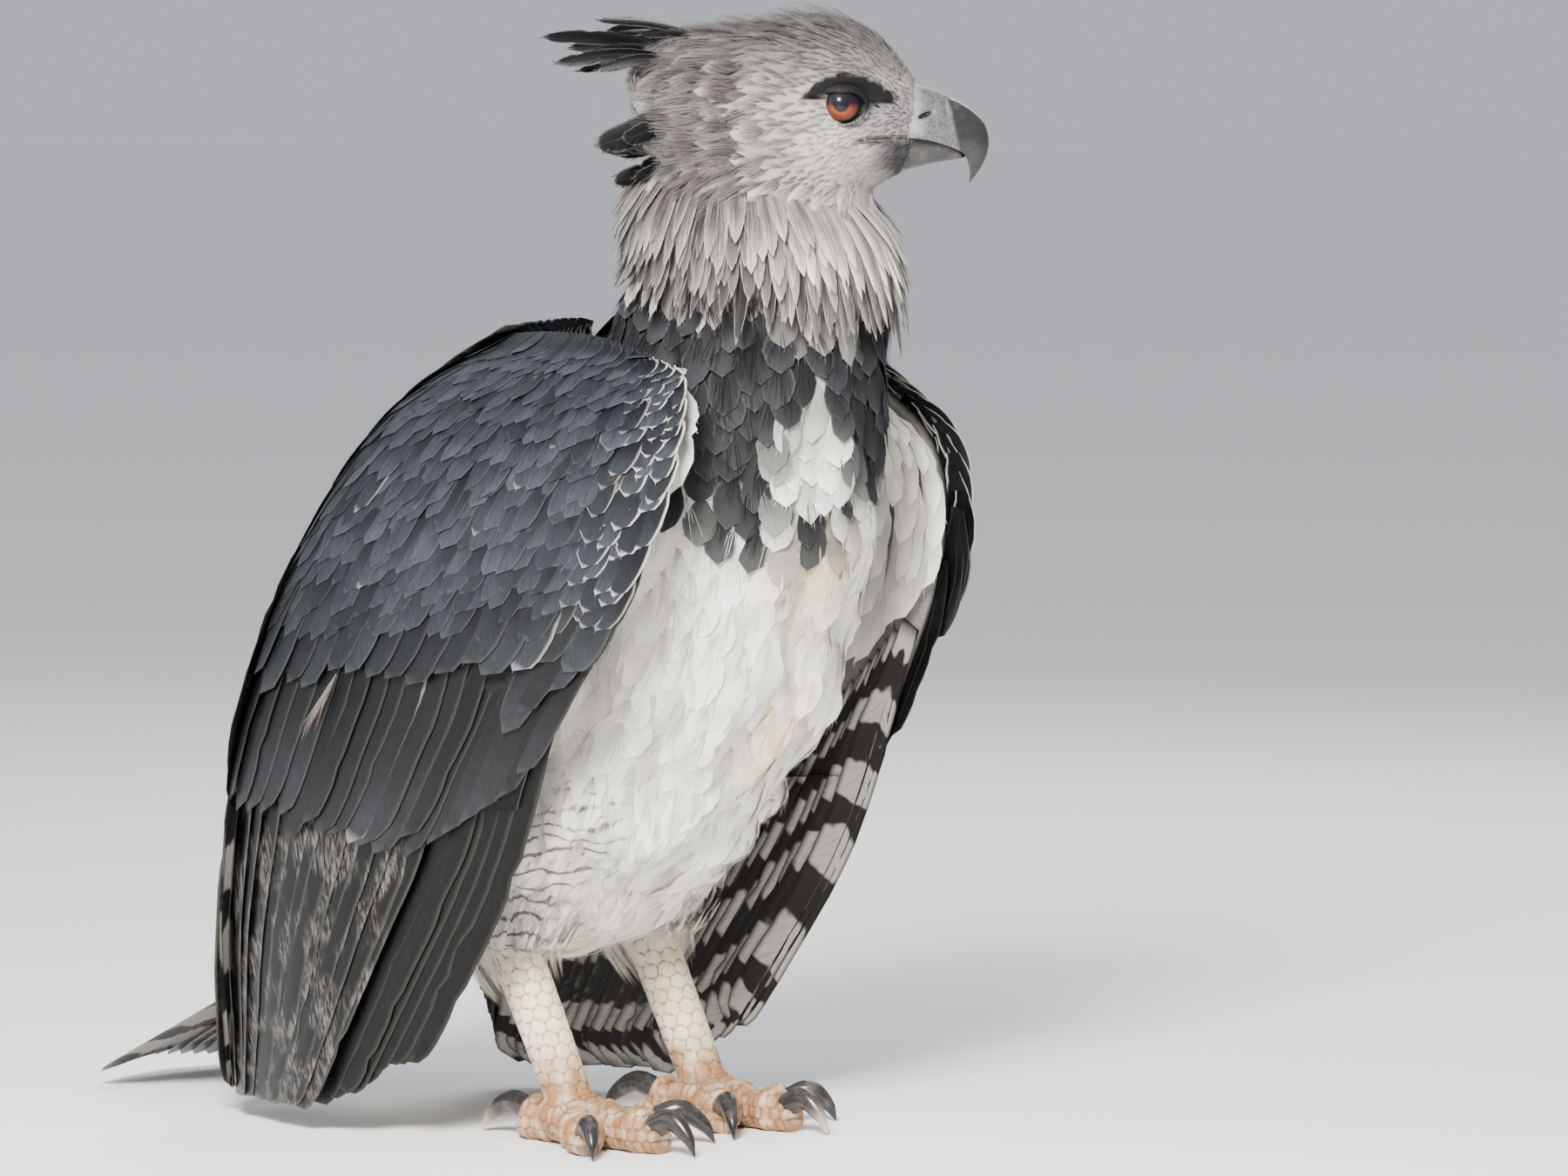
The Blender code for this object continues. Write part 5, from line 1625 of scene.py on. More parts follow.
def bill_section(tx, tz, bx, bz, width, arc, floor_count, hollow):
    """One section of the bill: an arch from cutting edge to cutting edge, closed by a nearly flat face."""
    angle = np.linspace(-np.pi / 2, np.pi / 2, arc)
    c = np.cos(angle) ** 0.9
    side = width * np.sign(angle) * np.abs(np.sin(angle)) ** 0.75
    arch = np.stack([bx + (tx - bx) * c, side, bz + (tz - bz) * c], axis=1)
    across = np.linspace(1, -1, floor_count + 2)[1:-1]
    dip = hollow * width * (1 - across**2)
    face = np.stack([np.full(floor_count, bx), 0.96 * width * across, bz + dip * np.sign(tz - bz)], axis=1)
    return np.concatenate([arch, face])


def bill_loft(name, table, count, material, lower=False):
    """Upper bill with cere, wrinkles and nostrils, or the lower one, which tucks inside it."""
    arc, floor_count = 81, 15
    flat = [(*top, *bottom, width) for top, bottom, width in table]
    t = np.linspace(0, 1, count)
    sections = []
    for tx, tz, bx, bz, width in spline(flat, t):
        width = max(width, 0.02)
        if lower:
            sections.append(bill_section(bx, bz, tx, tz, width * 0.93, arc, floor_count, 0.0))
        else:
            sections.append(bill_section(tx, tz, bx, bz, width, arc, floor_count, 0.12))
    local = np.concatenate(sections)
    upper = 0.0 if lower else 1.0
    cere = cere_share(local) * upper
    slit = nostril_share(local) * upper
    join = local[:, 0] + CERE_LEAN * local[:, 2] - CERE_X
    fold = np.cos(9.0 * join) * np.exp(-((join / 0.55) ** 2)) * smooth_step(-0.8, 0.3, local[:, 2])
    swell = 1 + 0.035 * cere + WRINKLES * upper * fold
    local[:, 1] = local[:, 1] * swell - np.sign(local[:, 1]) * 0.34 * slit
    local[:, 2] += 0.07 * (cere + 0.6 * fold) * smooth_step(0.0, 1.0, local[:, 2]) * upper
    fade = 0.8 * smooth_step(9.1, 8.1, local[:, 0] + 0.12 * local[:, 2])
    fade = fade * smooth_step(-2.0, -1.4, local[:, 2])
    rings = head_to_bird(local).reshape(count, -1, 3)
    values = {"share": np.repeat(t, rings.shape[1]), "slit": slit, "fade": fade, "cere": cere}
    values = {key: np.concatenate([value, (0, 0)]) for key, value in values.items()}
    obj = closed_piece(name, *tube_points(rings), material, **values)
    obj.data.set_sharp_from_angle(angle=math.radians(50))
    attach(obj, "root")
    return obj


def make_horn_material():
    """Dark polished horn with fine streaks, a duller cere and the nostril's slit, painted black as the shade
    inside it.
    """
    look = Look("horn")
    place = look.place()
    streaks = look.noise(place, 160.0, 4.0, 0.7, 1.5)
    share, pale, cere, slit = (look.value(name) for name in ("share", "pale", "cere", "slit"))
    blots = look.noise(place, 95.0, 3.0, 0.6)
    horn = look.mix(share, HORN_ROOT, HORN_TIP)
    horn = look.mix(look.times(look.ramp(blots, 0.5, 0.75), 0.35), horn, HORN_WORN)
    horn = look.mix(pale, horn, HORN_PALE)
    grain = look.ramp(look.grains(place, 700.0), 0.0, 1.0)
    horn = look.mix(cere, horn, look.mix(grain, CERE_GREY, CERE_GROOVE))
    base = look.shade(horn, look.scaled(streaks, 1.0, 0.5))
    base = look.mix(look.value("fade"), base, LORES)
    # Painted shade: the nostril's slit is black as the shade inside its hole.
    base = look.mix(look.ramp(slit, 0.3, 0.6), base, NOSTRIL_SHADOW)
    rough = look.math("ADD", look.scaled(streaks, 0.25, 0.12), look.times(cere, 0.25))
    look.surface(Base_Color=base, Roughness=rough, Specular_IOR_Level=0.55)
    height = look.math("ADD", look.times(streaks, 0.4), look.times(grain, look.times(cere, -0.8)))
    look.bump(height, 0.25, 0.0006)
    return look.material


def make_eye_material():
    """A wet eye: black pupil, orange iris with fine spokes, dark rim, and the brow's painted shadow over its
    top.
    """
    look = Look("eye")
    out = look.value("out")
    spokes = look.noise(look.colour("turn"), 9.0, 4.0, 0.7)
    iris = look.mix(look.ramp(out, 0.42, 0.85), IRIS_ORANGE, IRIS_BROWN)
    iris = look.shade(iris, look.scaled(spokes, 1.1, 0.45))
    base = look.mix(look.ramp(out, 0.45, 0.39), iris, PUPIL_BLACK)
    base = look.mix(look.ramp(out, 0.84, 0.93), base, EYE_RIM)
    # Painted shadow: the top of the eye is darkened as shaded by the brow.
    base = look.mix(look.value("shade"), base, EYE_SHADE)
    look.surface(Base_Color=base, Roughness=0.5, Specular_IOR_Level=0.1)
    look.surface(Coat_Weight=0.45, Coat_Roughness=0.02)
    return look.material


def make_eye(letter, side, material):
    """The eyeball with its bulging cornea; each point knows how far it lies from the pupil's middle, and how
    high it lies for the brow's painted shadow.
    """
    rings = []
    angle = ring_angles(64)
    polar = np.concatenate([np.linspace(0.02, 1.1, 44), np.linspace(1.2, 3.12, 24)])
    sides = len(angle)
    out = np.sin(np.minimum(polar, np.pi / 2)) * EYE_RADIUS / 1.16
    for a in polar:
        bulge = EYE_RADIUS + 0.1 * np.exp(-((a / 0.6) ** 2))
        x, z = bulge * math.sin(a) * np.cos(angle), bulge * math.sin(a) * np.sin(angle)
        y = np.full(sides, bulge * math.cos(a))
        local = np.stack([EYE[0] + x, side * (EYE[1] - 0.02 + y), EYE[2] + z], axis=1)
        rings.append(head_to_bird(local))
    points, faces = tube_points(rings)
    out = np.concatenate([np.repeat(out, sides), [0.0, 1.2]])
    spokes = np.stack([np.cos(angle), np.sin(angle), 0 * angle], axis=1)
    turn = np.concatenate([tint_of(spokes, len(polar)), np.zeros((2, 3))])
    height = bird_to_head(points)[:, 2] - EYE[2]
    # shade paints the brow's shadow over the eye's upper part.
    obj = closed_piece(f"eyeball_{letter}", points, faces, material, out=out, turn=turn,
                       shade=0.96 * smooth_step(-0.4, 0.12, height))
    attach(obj, "root")
    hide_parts(f"eye_{letter}")


def make_lid_material():
    """Grey, granular bare skin round the eye, black at its rim and painted dark on top as the brow's shadow.
    """
    look = Look("lid")
    grain = look.grains(look.place(), 900.0)
    dark = look.value("dark")
    base = look.mix(look.ramp(grain, 0.2, 0.75), LID_GREY, LID_GROOVE)
    base = look.mix(dark, base, LID_BLACK)
    look.surface(Base_Color=base, Roughness=0.55, Specular_IOR_Level=0.15)
    look.bump(grain, 0.5, 0.0005)
    return look.material


def make_lid(letter, side, material):
    """A thick rim of bare skin round the eye, drawn down over it at the top by the brow, with the brow's
    shadow painted on its top.
    """
    rings, dark = [], []
    count, sides = 72, 14
    for k in range(count):
        a = 2 * np.pi * k / count
        upper = max(0.0, math.sin(a))
        radius = 1.3 - 0.58 * upper**1.3 + 0.06 * math.cos(2 * a)
        b = ring_angles(sides)
        # Painted shadow: the brow's shade, darkest over the lid's top.
        shaded = max(0.0, math.sin(a + 0.45) + 0.3)
        wide = 0.26 + 0.42 * upper
        r = radius + wide * (1 + np.cos(b)) * 0.5
        depth = math.sqrt(max(EYE_RADIUS**2 - radius**2, 0.05))
        y = EYE[1] + depth + 0.1 + 0.16 * np.sin(b) - 0.55 * (r - radius)
        x = EYE[0] + r * math.cos(a) * np.where(math.cos(a) > 0, 1.1, 1.06)
        z = EYE[2] + r * math.sin(a)
        rings.append(head_to_bird(np.stack([x, side * y, z], axis=1)))
        dark.append(smooth_step(0.3, 0.0, (r - radius) / wide) + 1.8 * shaded)
    points = np.concatenate(rings)
    faces = []
    for k in range(count):
        here, ahead = k * sides, (k + 1) % count * sides
        for j in range(sides):
            after = (j + 1) % sides
            faces.append((here + j, here + after, ahead + after, ahead + j))
    dark = np.clip(np.concatenate(dark), 0, 1)
    obj = closed_piece(f"lid_{letter}", points, faces, material, dark=dark)
    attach(obj, "root")


# Lines of the mouth's corner: height over its middle, and radius.
GAPE_LINES = {"up": (0.12, 0.09), "mid": (0.0, 0.08), "down": (-0.14, 0.1)}


def make_gape(letter, side, lip, slit):
    """The mouth's corner: a black line of painted shade in the crease between two ridges of bare skin, laid
    on the side of the face.
    """
    x = np.linspace(4.3, 8.6, 40)
    z = np.interp(x, [4.3, 5.4, 6.8, 8.6], [-2.15, -1.95, -1.9, -1.9])
    way = head_to_bird((0, 0, 0))[0] - head_to_bird((0, side, 0))[0]
    for name, (rise, radius) in GAPE_LINES.items():
        starts = head_to_bird(np.stack([x, 9.0 * side + 0 * x, z + rise], axis=1))
        path, normals = [], []
        for start in starts:
            place, _, face, _ = skin_map.tree.ray_cast(start.tolist(), way.tolist())
            if face is None:
                break
            path.append(place[:])
            normals.append(skin_map.normals[face])
        path, normals = np.array(path), unit(np.array(normals))
        count = len(path)
        size = radius * np.interp(np.arange(count), [0, 8, count - 1], [0.25, 1.0, 1.0])
        angle = ring_angles(12)
        along_path = unit(np.gradient(path, axis=0))
        across = np.cross(normals, along_path)
        ring = np.cos(angle)[None, :, None] * across[:, None]
        ring = ring + 0.7 * np.sin(angle)[None, :, None] * normals[:, None]
        points, faces = tube_points(path[:, None] + size[:, None, None] * ring)
        # The middle line is the crease's painted shade.
        material, values = (slit, {}) if name == "mid" else (lip, {"dark": np.full(len(points), 0.35)})
        obj = closed_piece(f"gape_{name}_{letter}", points, faces, material, **values)
        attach(obj, "root")


# Feet: turn from straight ahead, length, claw length and thickness of each toe, hind toe last.
TOES = {
    "2": {"turn": 38.0, "length": 6.0, "claw": 5.6, "thick": 1.3},
    "3": {"turn": 0.0, "length": 7.6, "claw": 5.0, "thick": 1.35},
    "4": {"turn": -40.0, "length": 6.2, "claw": 4.4, "thick": 1.2},
    "1": {"turn": 176.0, "length": 4.4, "claw": 7.0, "thick": 1.35},
}
PALE_CLAWS = ("R1", "L3")
CLAW_RADII = [0.72, 0.64, 0.4, 0.05]
# A toe's thickness from root to tip, and where along it each of these is reached.
TOE_SIZES = [(1.1,), (1.02,), (1.0,), (0.96,), (0.8,)]
TOE_STATIONS = [0, 0.3, 0.55, 0.8, 1]
TOE_JOINTS = 2.6
SCALE_STEP = 0.62
SCALE_RINGS = 13
SCALE_RISE = 0.16
GROOVE_DEPTH = 0.09


def toe_line(heel, side, turn):
    """Where a toe starts on the floor, its direction and the way across it."""
    angle = math.radians(turn)
    ahead = np.array((-side * math.sin(angle), -math.cos(angle), 0.0))
    return np.array((heel[0], heel[1] - 0.4, 0.0)), ahead, np.cross(ahead, (0, 0, 1))


def toe_rings(heel, side, toe):
    """A toe with a swollen pad under each joint."""
    start, ahead, across = toe_line(heel, side, toe["turn"])
    t = np.linspace(0, 1, 40)
    size = spline(TOE_SIZES, np.interp(t, TOE_STATIONS, np.linspace(0, 1, 5)))
    swell = np.cos(2 * np.pi * TOE_JOINTS * t)
    radius = toe["thick"] * (size[:, 0] + 0.12 * swell)
    centres = start + ahead * (toe["length"] * t)[:, None]
    centres[:, 2] = radius - 0.05
    angle = ring_angles(28)
    pad = 1 + 0.1 * np.maximum(0, swell)[:, None] * np.maximum(0, -np.sin(angle))
    offset = np.cos(angle)[None, :, None] * across + np.sin(angle)[None, :, None] * np.array((0, 0, 1.0))
    return centres[:, None] + (radius[:, None] * pad)[..., None] * offset


def scale_relief(points, seeds):
    """How much farther each point's second seed is than its first: 0 in the grooves between scales."""
    tree = kdtree.KDTree(len(seeds))
    for i, seed in enumerate(seeds.tolist()):
        tree.insert(seed, i)
    tree.balance()
    found = [[distance for _, _, distance in tree.find_n(point, 2)] for point in points.tolist()]
    return np.diff(found, axis=1)[:, 0]


def make_foot(letter, side, material, horn):
    """Shank and toes as one skin with plates round the shank and along the toes, and the claws on it."""
    top = np.array(mirrored(ANKLE, side))
    heel = np.array(mirrored(HEEL, side))
    above = top + 0.35 * (top - heel)
    lofts = [limb([above, top, heel, heel - (0, 0, 1.6)], SHANK_RADII, 60, 48)]
    lofts.append(ball_rings(heel + (0, -0.4, -1.2), (2.0, 2.4, 1.8)))
    lofts += [toe_rings(heel, side, toe) for toe in TOES.values()]
    obj, points, normals = fused(f"scaled_foot_{letter}", lofts, material, FOOT_VOXEL, 4)
    gap = scale_relief(points, foot_seeds(side, heel, top))
    relief = smooth_step(0.0, 0.12, gap)
    sole = smooth_step(0.35, 0.1, points[:, 2])
    raised = points + normals * ((SCALE_RISE * relief - GROOVE_DEPTH) * (1 - sole))[:, None]
    raised[:, 2] = np.maximum(raised[:, 2], 0.02 - SHIFT[2] / CM)
    move_points(obj, raised)
    dirt = smooth_step(7.0, 3.2, points[:, 2]) * (0.4 + 1.1 * ripple(points, 0.6, 6.0))
    set_values(obj.data, groove=1 - relief, dirt=np.clip(dirt, 0, 1))
    unwrap(obj)
    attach(obj, "root")
    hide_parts(f"shank_{letter}", f"foot_{letter}")
    for number, toe in TOES.items():
        make_claw(f"{letter}{number}", heel, side, toe, horn)


def foot_seeds(side, heel, top):
    """Middles of the scales: rings of them up the shank and rows over the top and sides of each toe."""
    seeds = []
    for k in range(SCALE_RINGS):
        centre = heel + (top - heel) * (k + 0.5) / (SCALE_RINGS - 1)
        for angle in np.radians(np.arange(0, 360, 40) + 20 * (k % 2)):
            out = np.array((math.sin(angle), -math.cos(angle), 0.15 * math.cos(angle)))
            seeds.append(centre + 1.55 * out)
    for toe in TOES.values():
        start, ahead, across = toe_line(heel, side, toe["turn"])
        thick = toe["thick"]
        for k in range(1, int(toe["length"] / SCALE_STEP) + 1):
            middle = start + ahead * SCALE_STEP * k
            seeds.append(middle + (0, 0, 2.1 * thick))
            for sign in (-1, 1):
                for height in (1.45, 0.9, 0.35):
                    shift = 0.3 * ahead * (height != 0.9)
                    seeds.append(middle + shift + across * sign * thick + (0, 0, height * thick))
    return np.array(seeds)


def make_claw(label, heel, side, toe, horn):
    """A long hooked claw, thick at its root."""
    start, ahead, across = toe_line(heel, side, toe["turn"])
    start = start + ahead * (toe["length"] - 0.7)
    reach, rise = toe["claw"] * 0.62, toe["thick"] * 1.25
    path = [
        start + (0, 0, rise),
        start + ahead * (reach * 0.42 + 0.2) + (0, 0, rise + 0.55),
        start + ahead * (reach * 0.85 + 0.2) + (0, 0, rise * 0.75),
        start + ahead * (reach * 1.05 + 0.2) + (0, 0, 0.12),
    ]
    count, sides = 40, 24
    rings = limb(path, CLAW_RADII, count, sides, across, 1.12)
    share = np.concatenate([np.repeat(np.linspace(0, 1, count), sides), [0.0, 1.0]])
    pale = smooth_step(0.45, 1.0, share) * 0.9 if label in PALE_CLAWS else 0 * share
    obj = closed_piece(f"talon_{label}", *tube_points(rings), horn, share=share, pale=pale)
    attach(obj, "root")
    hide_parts(f"claw_{label}")


def make_scaled_material():
    """Yellowish-cream leather plates with dirt in the grooves."""
    look = Look("scaled_skin")
    place = look.place()
    grain = look.noise(place, 300.0, 5.0, 0.7)
    patches = look.noise(place, 45.0, 3.0, 0.6)
    groove, dirt = look.value("groove"), look.value("dirt")
    base = look.mix(look.ramp(patches, 0.35, 0.65), SCALE_CREAM, SCALE_YELLOW)
    base = look.mix(look.times(dirt, 0.9), base, DIRT_BROWN)
    base = look.mix(look.times(groove, 0.9), base, GROOVE_BROWN)
    base = look.shade(base, look.scaled(grain, 0.7, 0.65))
    look.surface(Base_Color=base, Roughness=0.5)
    look.bump(grain, 0.3, 0.0005)
    return look.material


vane_material = make_vane_material("vane", 0.7, 0.85, 0.34)
ruff_material = make_vane_material("ruff_vane", 0.5, 0.5, 0.7)
soft_material = make_vane_material("soft_vane", 0.1, 0.42, 0.75)
white_material = make_vane_material("white_vane", 0.0, 0.14, 0.8)
skin_material = make_skin_material()
skin = make_skin(skin_material)
unwrap(skin)
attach(skin, "root")
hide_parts("head", "neck", "breast", "mantle", "torso", "thigh_R", "thigh_L")
skin_map = SkinMap(skin)


def on_hood(points):
    return points[:, 2] > hood_edge(points)


def dark_body(points):
    """Where slate feathers lie: the breast band, the mantle and the back."""
    bib = (points[:, 2] > bib_edge(points)) & (points[:, 1] < 6)
    return (bib | (back_share(points) > 0.4)) & ~on_hood(points)


def face_share(local):
    """1 on the face, where the feathers are shortest, and 0 over the rest of the head."""
    return smooth_step(-1.5, 4.5, local[:, 0]) * smooth_step(-7.0, -4.5, local[:, 2])


def bare_share(local):
    """1 on the cere, which the bill's own piece covers."""
    return smooth_step(7.9, 8.2, local[:, 0] + 0.12 * local[:, 2])


DISC_ROWS = (-0.1, -1.9, -3.6)

# Feathers that narrow down the leg: radii at thigh, ankle and end, how far down the shank they reach, the
# tufts in a row, and where the rows start.
LEG_DOWN_RADII = [4.3, 3.2, 1.9]
LEG_DOWN_END = 0.38
LEG_DOWN_COUNT = 26
LEG_DOWN_STARTS = (0.0, 0.14, 0.28, 0.42)
LEG_RINGS = 41
LEG_SIDES = 96


def dress_belly():
    """Broad soft white feathers under a layer of loose barbs."""
    def spacing(points):
        return np.where(dark_body(points) | on_hood(points), 0.0, 1.75 - 0.7 * leg_share(points))

    roots = scatter(spacing)
    leg = leg_share(roots)
    body_feathers("white_feathers", roots, "plumage_white", length=4.4 - 2.0 * leg, half=1.35 - 0.6 * leg,
                  lifts=(0.0, 0.05), camber=0.05, barbs=13, barb_length=0.8, barb_radius=0.018, shade=0.04,
                  material=white_material)
    roots = scatter(lambda points: 0.9 * spacing(points))
    leg = leg_share(roots)
    body_tufts("white_down", roots, white_material, "plumage_white", length=3.6 - 1.8 * leg, strands=11,
               spread=1.1 - 0.6 * leg, lifts=(0.08 - 0.04 * leg, 0.3 - 0.1 * leg), radius=0.024,
               fray=0.22, shortest=0.45)
    roots = scatter(lambda points: np.where((points[:, 2] < 17.0) & (leg_share(points) > 0.5), 0.95, 0.0))
    body_tufts("ankle_down", roots, white_material, "plumage_white", length=2.3, strands=10, spread=0.45,
               lifts=(0.1, 0.7), radius=0.02, fray=0.3, shortest=0.5)


def dress_slate():
    """Slate feathers of the breast band, the mantle and the back."""
    roots = scatter(lambda points: np.where(dark_body(points), 1.3, 0.0))
    body_feathers("slate_feathers", roots, "plumage_slate", length=3.4, half=1.1, lifts=(0.0, 0.4),
                  camber=0.14, barbs=14, barb_length=0.55, barb_radius=0.02, shade=0.3, edge=0.04)
    roots = roots[skin_tint(roots).mean(axis=1) < 0.06]
    body_tufts("slate_down", roots, soft_material, "plumage_slate", length=3.3, strands=12, spread=1.0,
               lifts=(0.12, 0.62), radius=0.024, tint=skin_tint(roots), fray=0.2, shortest=0.55)


def down_spacing(local):
    bare = (bare_share(local) > 0.5) | (brow_patch(local) > 0.6)
    return np.where(bare, 0.0, 0.54 - 0.28 * face_share(local))


def bristle_spacing(local):
    return np.where((local[:, 0] > 7.0) & (local[:, 0] < 8.3) & (local[:, 2] > -3.6), 0.27, 0.0)


def crown_spacing(local):
    top = (local[:, 2] > 3.9) & (np.abs(local[:, 1]) < 3.4) & (local[:, 0] < 4.5)
    return np.where(top, 0.85, 0.0)


def disc_spacing(local):
    behind = disc_distance(local[:, 0], local[:, 2])
    on_row = np.abs(behind[:, None] - DISC_ROWS).min(axis=1) < 0.28
    return np.where(on_row & (local[:, 2] < 3.2) & (np.abs(local[:, 1]) > 2.0), 0.5, 0.0)


def hood_spacing(local):
    behind = local[:, 0] + 0.35 * (local[:, 2] + 2.0) < -1.0
    throat = (local[:, 2] < -4.6) & (local[:, 0] < 6.0)
    return np.where(behind | throat, 0.9, 0.0)


def scatter_on_head(spacing):
    """Roots on the hood by a spacing in the head's frame, and the same roots in that frame."""
    roots = scatter(lambda points: np.where(on_hood(points), spacing(bird_to_head(points)), 0.0))
    return roots, bird_to_head(roots)


def head_tufts(name, roots, **values):
    body_tufts(name, roots, soft_material, "plumage_grey", **values)


def dress_head():
    """Short feathers on the face, longer ones over the crown, and layered frayed ones behind the cheeks."""
    roots, local = scatter_on_head(down_spacing)
    face = face_share(local)
    crown = smooth_step(2.0, 4.5, local[:, 2])
    head_tufts("head_down", roots, length=1.8 - 1.05 * face + 0.4 * crown, strands=8,
               spread=0.42 - 0.27 * face, lifts=(0.02, 0.18 - 0.12 * face + 0.3 * crown),
               radius=0.02 - 0.007 * face, stations=3, fray=0.2, flat=0.6, shade=0.3)
    roots, _ = scatter_on_head(bristle_spacing)
    head_tufts("bristles", roots, length=0.8, strands=5, spread=0.12, lifts=(0.02, 0.3), radius=0.011,
               swirl=1.3, stations=3, fray=0.3, flat=0.6, shade=0.4)
    roots, _ = scatter_on_head(crown_spacing)
    head_tufts("crown_plumes", roots, length=2.5, strands=14, spread=0.32, lifts=(0.1, 1.0), radius=0.02,
               fray=0.25, shade=0.5)
    roots, _ = scatter_on_head(disc_spacing)
    head_tufts("disc_feathers", roots, length=2.3, strands=24, spread=0.6, lifts=(0.15, 1.0), radius=0.019,
               fray=0.18, shortest=0.65)
    roots, local = scatter_on_head(hood_spacing)
    back = smooth_step(-1.0, -5.0, local[:, 0])
    nape = smooth_step(-5.5, -8.0, local[:, 0])
    body_feathers("hood_feathers", roots, "plumage_grey", length=2.6 + 0.8 * back, half=0.6,
                  lifts=(0.0, 0.2 + 0.1 * back + 0.8 * nape), camber=0.1, barbs=16, barb_length=0.5,
                  barb_radius=0.018, chance=0.12, shade=0.2)
    head_tufts("hood_down", roots, length=2.5 + 0.8 * back, strands=12, spread=0.75,
               lifts=(0.1, 0.45 + 0.15 * back + 0.8 * nape), radius=0.02, fray=0.2)


def dress_leg(letter, side):
    """Soft feathers that narrow down the leg, from the thigh over the top of the shank."""
    knee, ankle, heel = (np.array(mirrored(point, side)) for point in (KNEE, ANKLE, HEEL))
    path = [ankle + 0.55 * (knee - ankle), ankle, ankle + LEG_DOWN_END * (heel - ankle)]
    rings = limb(path, LEG_DOWN_RADII, LEG_RINGS, LEG_SIDES)
    outward = unit(rings - rings.mean(axis=1, keepdims=True))
    n = LEG_DOWN_COUNT
    lines, normals = [], []
    for start in LEG_DOWN_STARTS:
        turn = np.round((np.arange(n) + random.random(n)) * LEG_SIDES / n).astype(int) % LEG_SIDES
        reach = start + 0.45 + 0.12 * random.random(n)
        down = start + (reach[:, None] - start) * np.linspace(0, 1, 8)
        place = np.round((LEG_RINGS - 1) * down).astype(int)
        lines.append(rings[place, turn[:, None]])
        normals.append(outward[place, turn[:, None]])
    lines, normals = np.concatenate(lines), np.concatenate(normals)
    fan = tufts(lines, normals, 16, 0.42, (0.0, 0.25), 0.02, shortest=0.55)
    tint = skin_tint(lines[:, 0]) * (1 + 0.1 * random.uniform(-1, 1, (len(lines), 1)))
    finish_coat(f"leg_down_{letter}", fan, tint, white_material, "plumage_white", lines[:, 0], length=3.2,
                width=0.42, legbars=leg_bars(lines[:, 4]))


dress_belly()
dress_slate()
dress_head()
for letter, side in SIDES.items():
    dress_leg(letter, side)


for letter, side in SIDES.items():
    core = make_wing(letter, side)
    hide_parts(f"wing_{letter}", f"scapular_{letter}")
make_tail()
make_crest()
make_ruff()


horn = make_horn_material()
upper = bill_loft("bill_top", BILL_UPPER, 150, horn)
lower = bill_loft("bill_bottom", BILL_LOWER, 90, horn, lower=True)
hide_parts("bill_upper")
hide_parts("bill_lower")
eye_material, lid_material, scaled = make_eye_material(), make_lid_material(), make_scaled_material()
# The mouth's middle line is painted black as the shade in its crease.
mouth_shadow_material = plain_material("slit", MOUTH_SHADOW, 0.6)
for letter, side in SIDES.items():
    make_gape(letter, side, lid_material, mouth_shadow_material)
    make_eye(letter, side, eye_material)
    make_lid(letter, side, lid_material)
    make_foot(letter, side, scaled, horn)


FLOOR_SIZE = 80.0
FLOOR_WHITE = (0.98, 0.98, 0.975)
SENSOR_WIDTH = 36.0
LOOK_HEIGHT = 0.4
SKY_COLOUR = (0.9, 0.93, 1.0, 1.0)
SKY_STRENGTH = 0.6
# Lights: azimuth from the camera, elevation, distance, size, power and colour.
LIGHTS = {
    "key": (-8, 38, 3.2, 0.8, 270, (1.0, 0.97, 0.92)),
    "fill": (-70, 20, 3.5, 2.4, 36, (0.88, 0.94, 1.0)),
    "rim": (160, 42, 3.0, 1.6, 38, (1.0, 1.0, 1.0)),
}


def make_floor():
    """A plain, pale, level floor."""
    half = FLOOR_SIZE / 2
    mesh = bpy.data.meshes.new("floor")
    corners = [(-half, -half, 0), (half, -half, 0), (half, half, 0), (-half, half, 0)]
    mesh.from_pydata(corners, [], [(0, 1, 2, 3)])
    mesh.materials.append(plain_material("floor", FLOOR_WHITE, 0.9))
    floor = bpy.data.objects.new("floor", mesh)
    bpy.context.scene.collection.objects.link(floor)


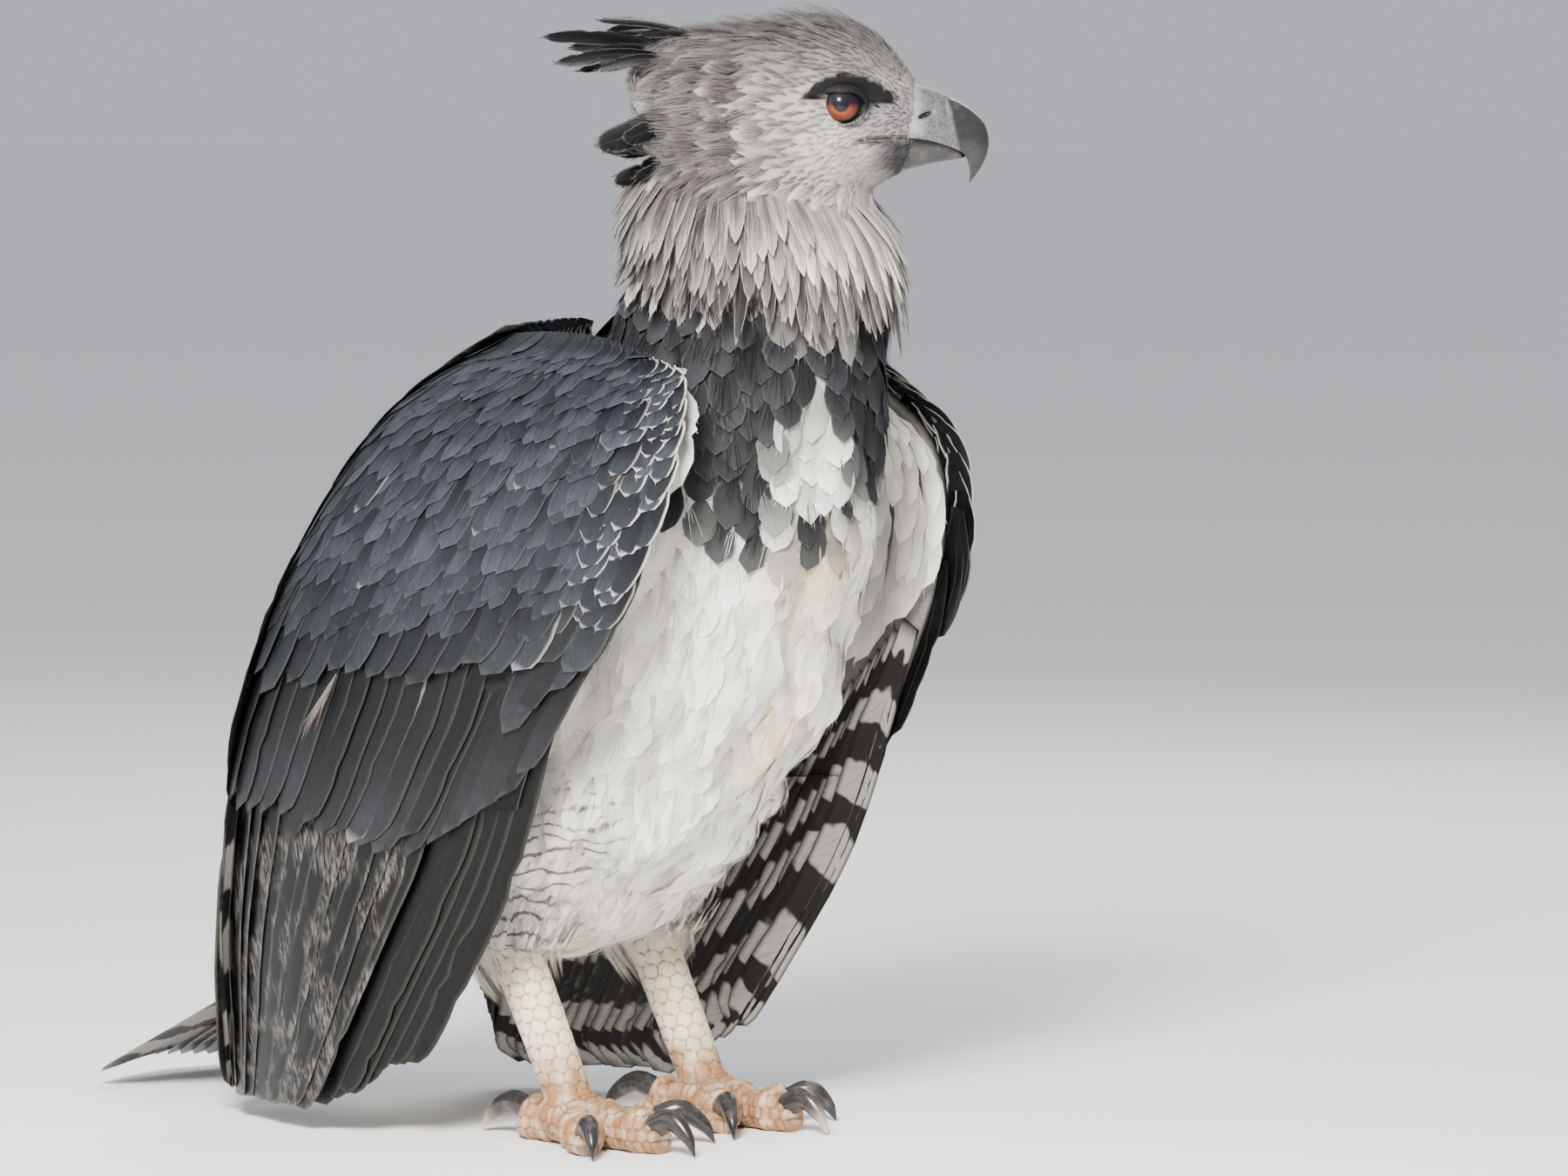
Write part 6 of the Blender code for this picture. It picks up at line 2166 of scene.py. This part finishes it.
def look_at(obj, target):
    away = Vector(target) - obj.location
    obj.rotation_euler = away.to_track_quat("-Z", "Y").to_euler()


def direction(azimuth, elevation):
    """The way from the bird to a place at an azimuth from its front and an elevation, in degrees."""
    turn, rise = math.radians(azimuth), math.radians(elevation)
    return Vector((math.sin(turn) * math.cos(rise), -math.cos(turn) * math.cos(rise), math.sin(rise)))


def make_light(name, azimuth, elevation, distance, size, power, colour):
    """A soft light at an angle round the bird, measured from the camera's side."""
    light = bpy.data.lights.new(name, "AREA")
    light.size = size
    light.energy = power
    light.color = colour
    obj = bpy.data.objects.new(name, light)
    obj.location = direction(CAMERA_AZIMUTH + azimuth, elevation) * distance
    bpy.context.scene.collection.objects.link(obj)
    look_at(obj, (0.0, 0.0, LOOK_HEIGHT))


def make_camera():
    """The photograph's view: its scale, its angle over the floor and its frame."""
    turn = math.radians(CAMERA_AZIMUTH)
    right = Vector((math.cos(turn), math.sin(turn), 0.0))
    back = direction(CAMERA_AZIMUTH, CAMERA_ELEVATION)
    up = back.cross(right)
    width, height = PHOTO_SIZE
    target = Vector(SHIFT) * Vector((1.0, 1.0, 0.0))
    target += right * ((width / 2 - PHOTO_ORIGIN[0]) / PHOTO_PIXELS_PER_METRE)
    target += up * ((PHOTO_ORIGIN[1] - height / 2) / PHOTO_PIXELS_PER_METRE)
    data = bpy.data.cameras.new("camera")
    data.sensor_fit = "HORIZONTAL"
    data.sensor_width = SENSOR_WIDTH
    data.lens = SENSOR_WIDTH * CAMERA_DISTANCE / (width / PHOTO_PIXELS_PER_METRE)
    camera = bpy.data.objects.new("camera", data)
    camera.location = target + back * CAMERA_DISTANCE
    look_at(camera, target)
    bpy.context.scene.collection.objects.link(camera)
    bpy.context.scene.camera = camera


make_floor()
for name, settings in LIGHTS.items():
    make_light(name, *settings)
world = bpy.data.worlds.new("studio")
world.use_nodes = True
sky = world.node_tree.nodes["Background"].inputs
sky["Color"].default_value = SKY_COLOUR
sky["Strength"].default_value = SKY_STRENGTH
bpy.context.scene.world = world
make_camera()
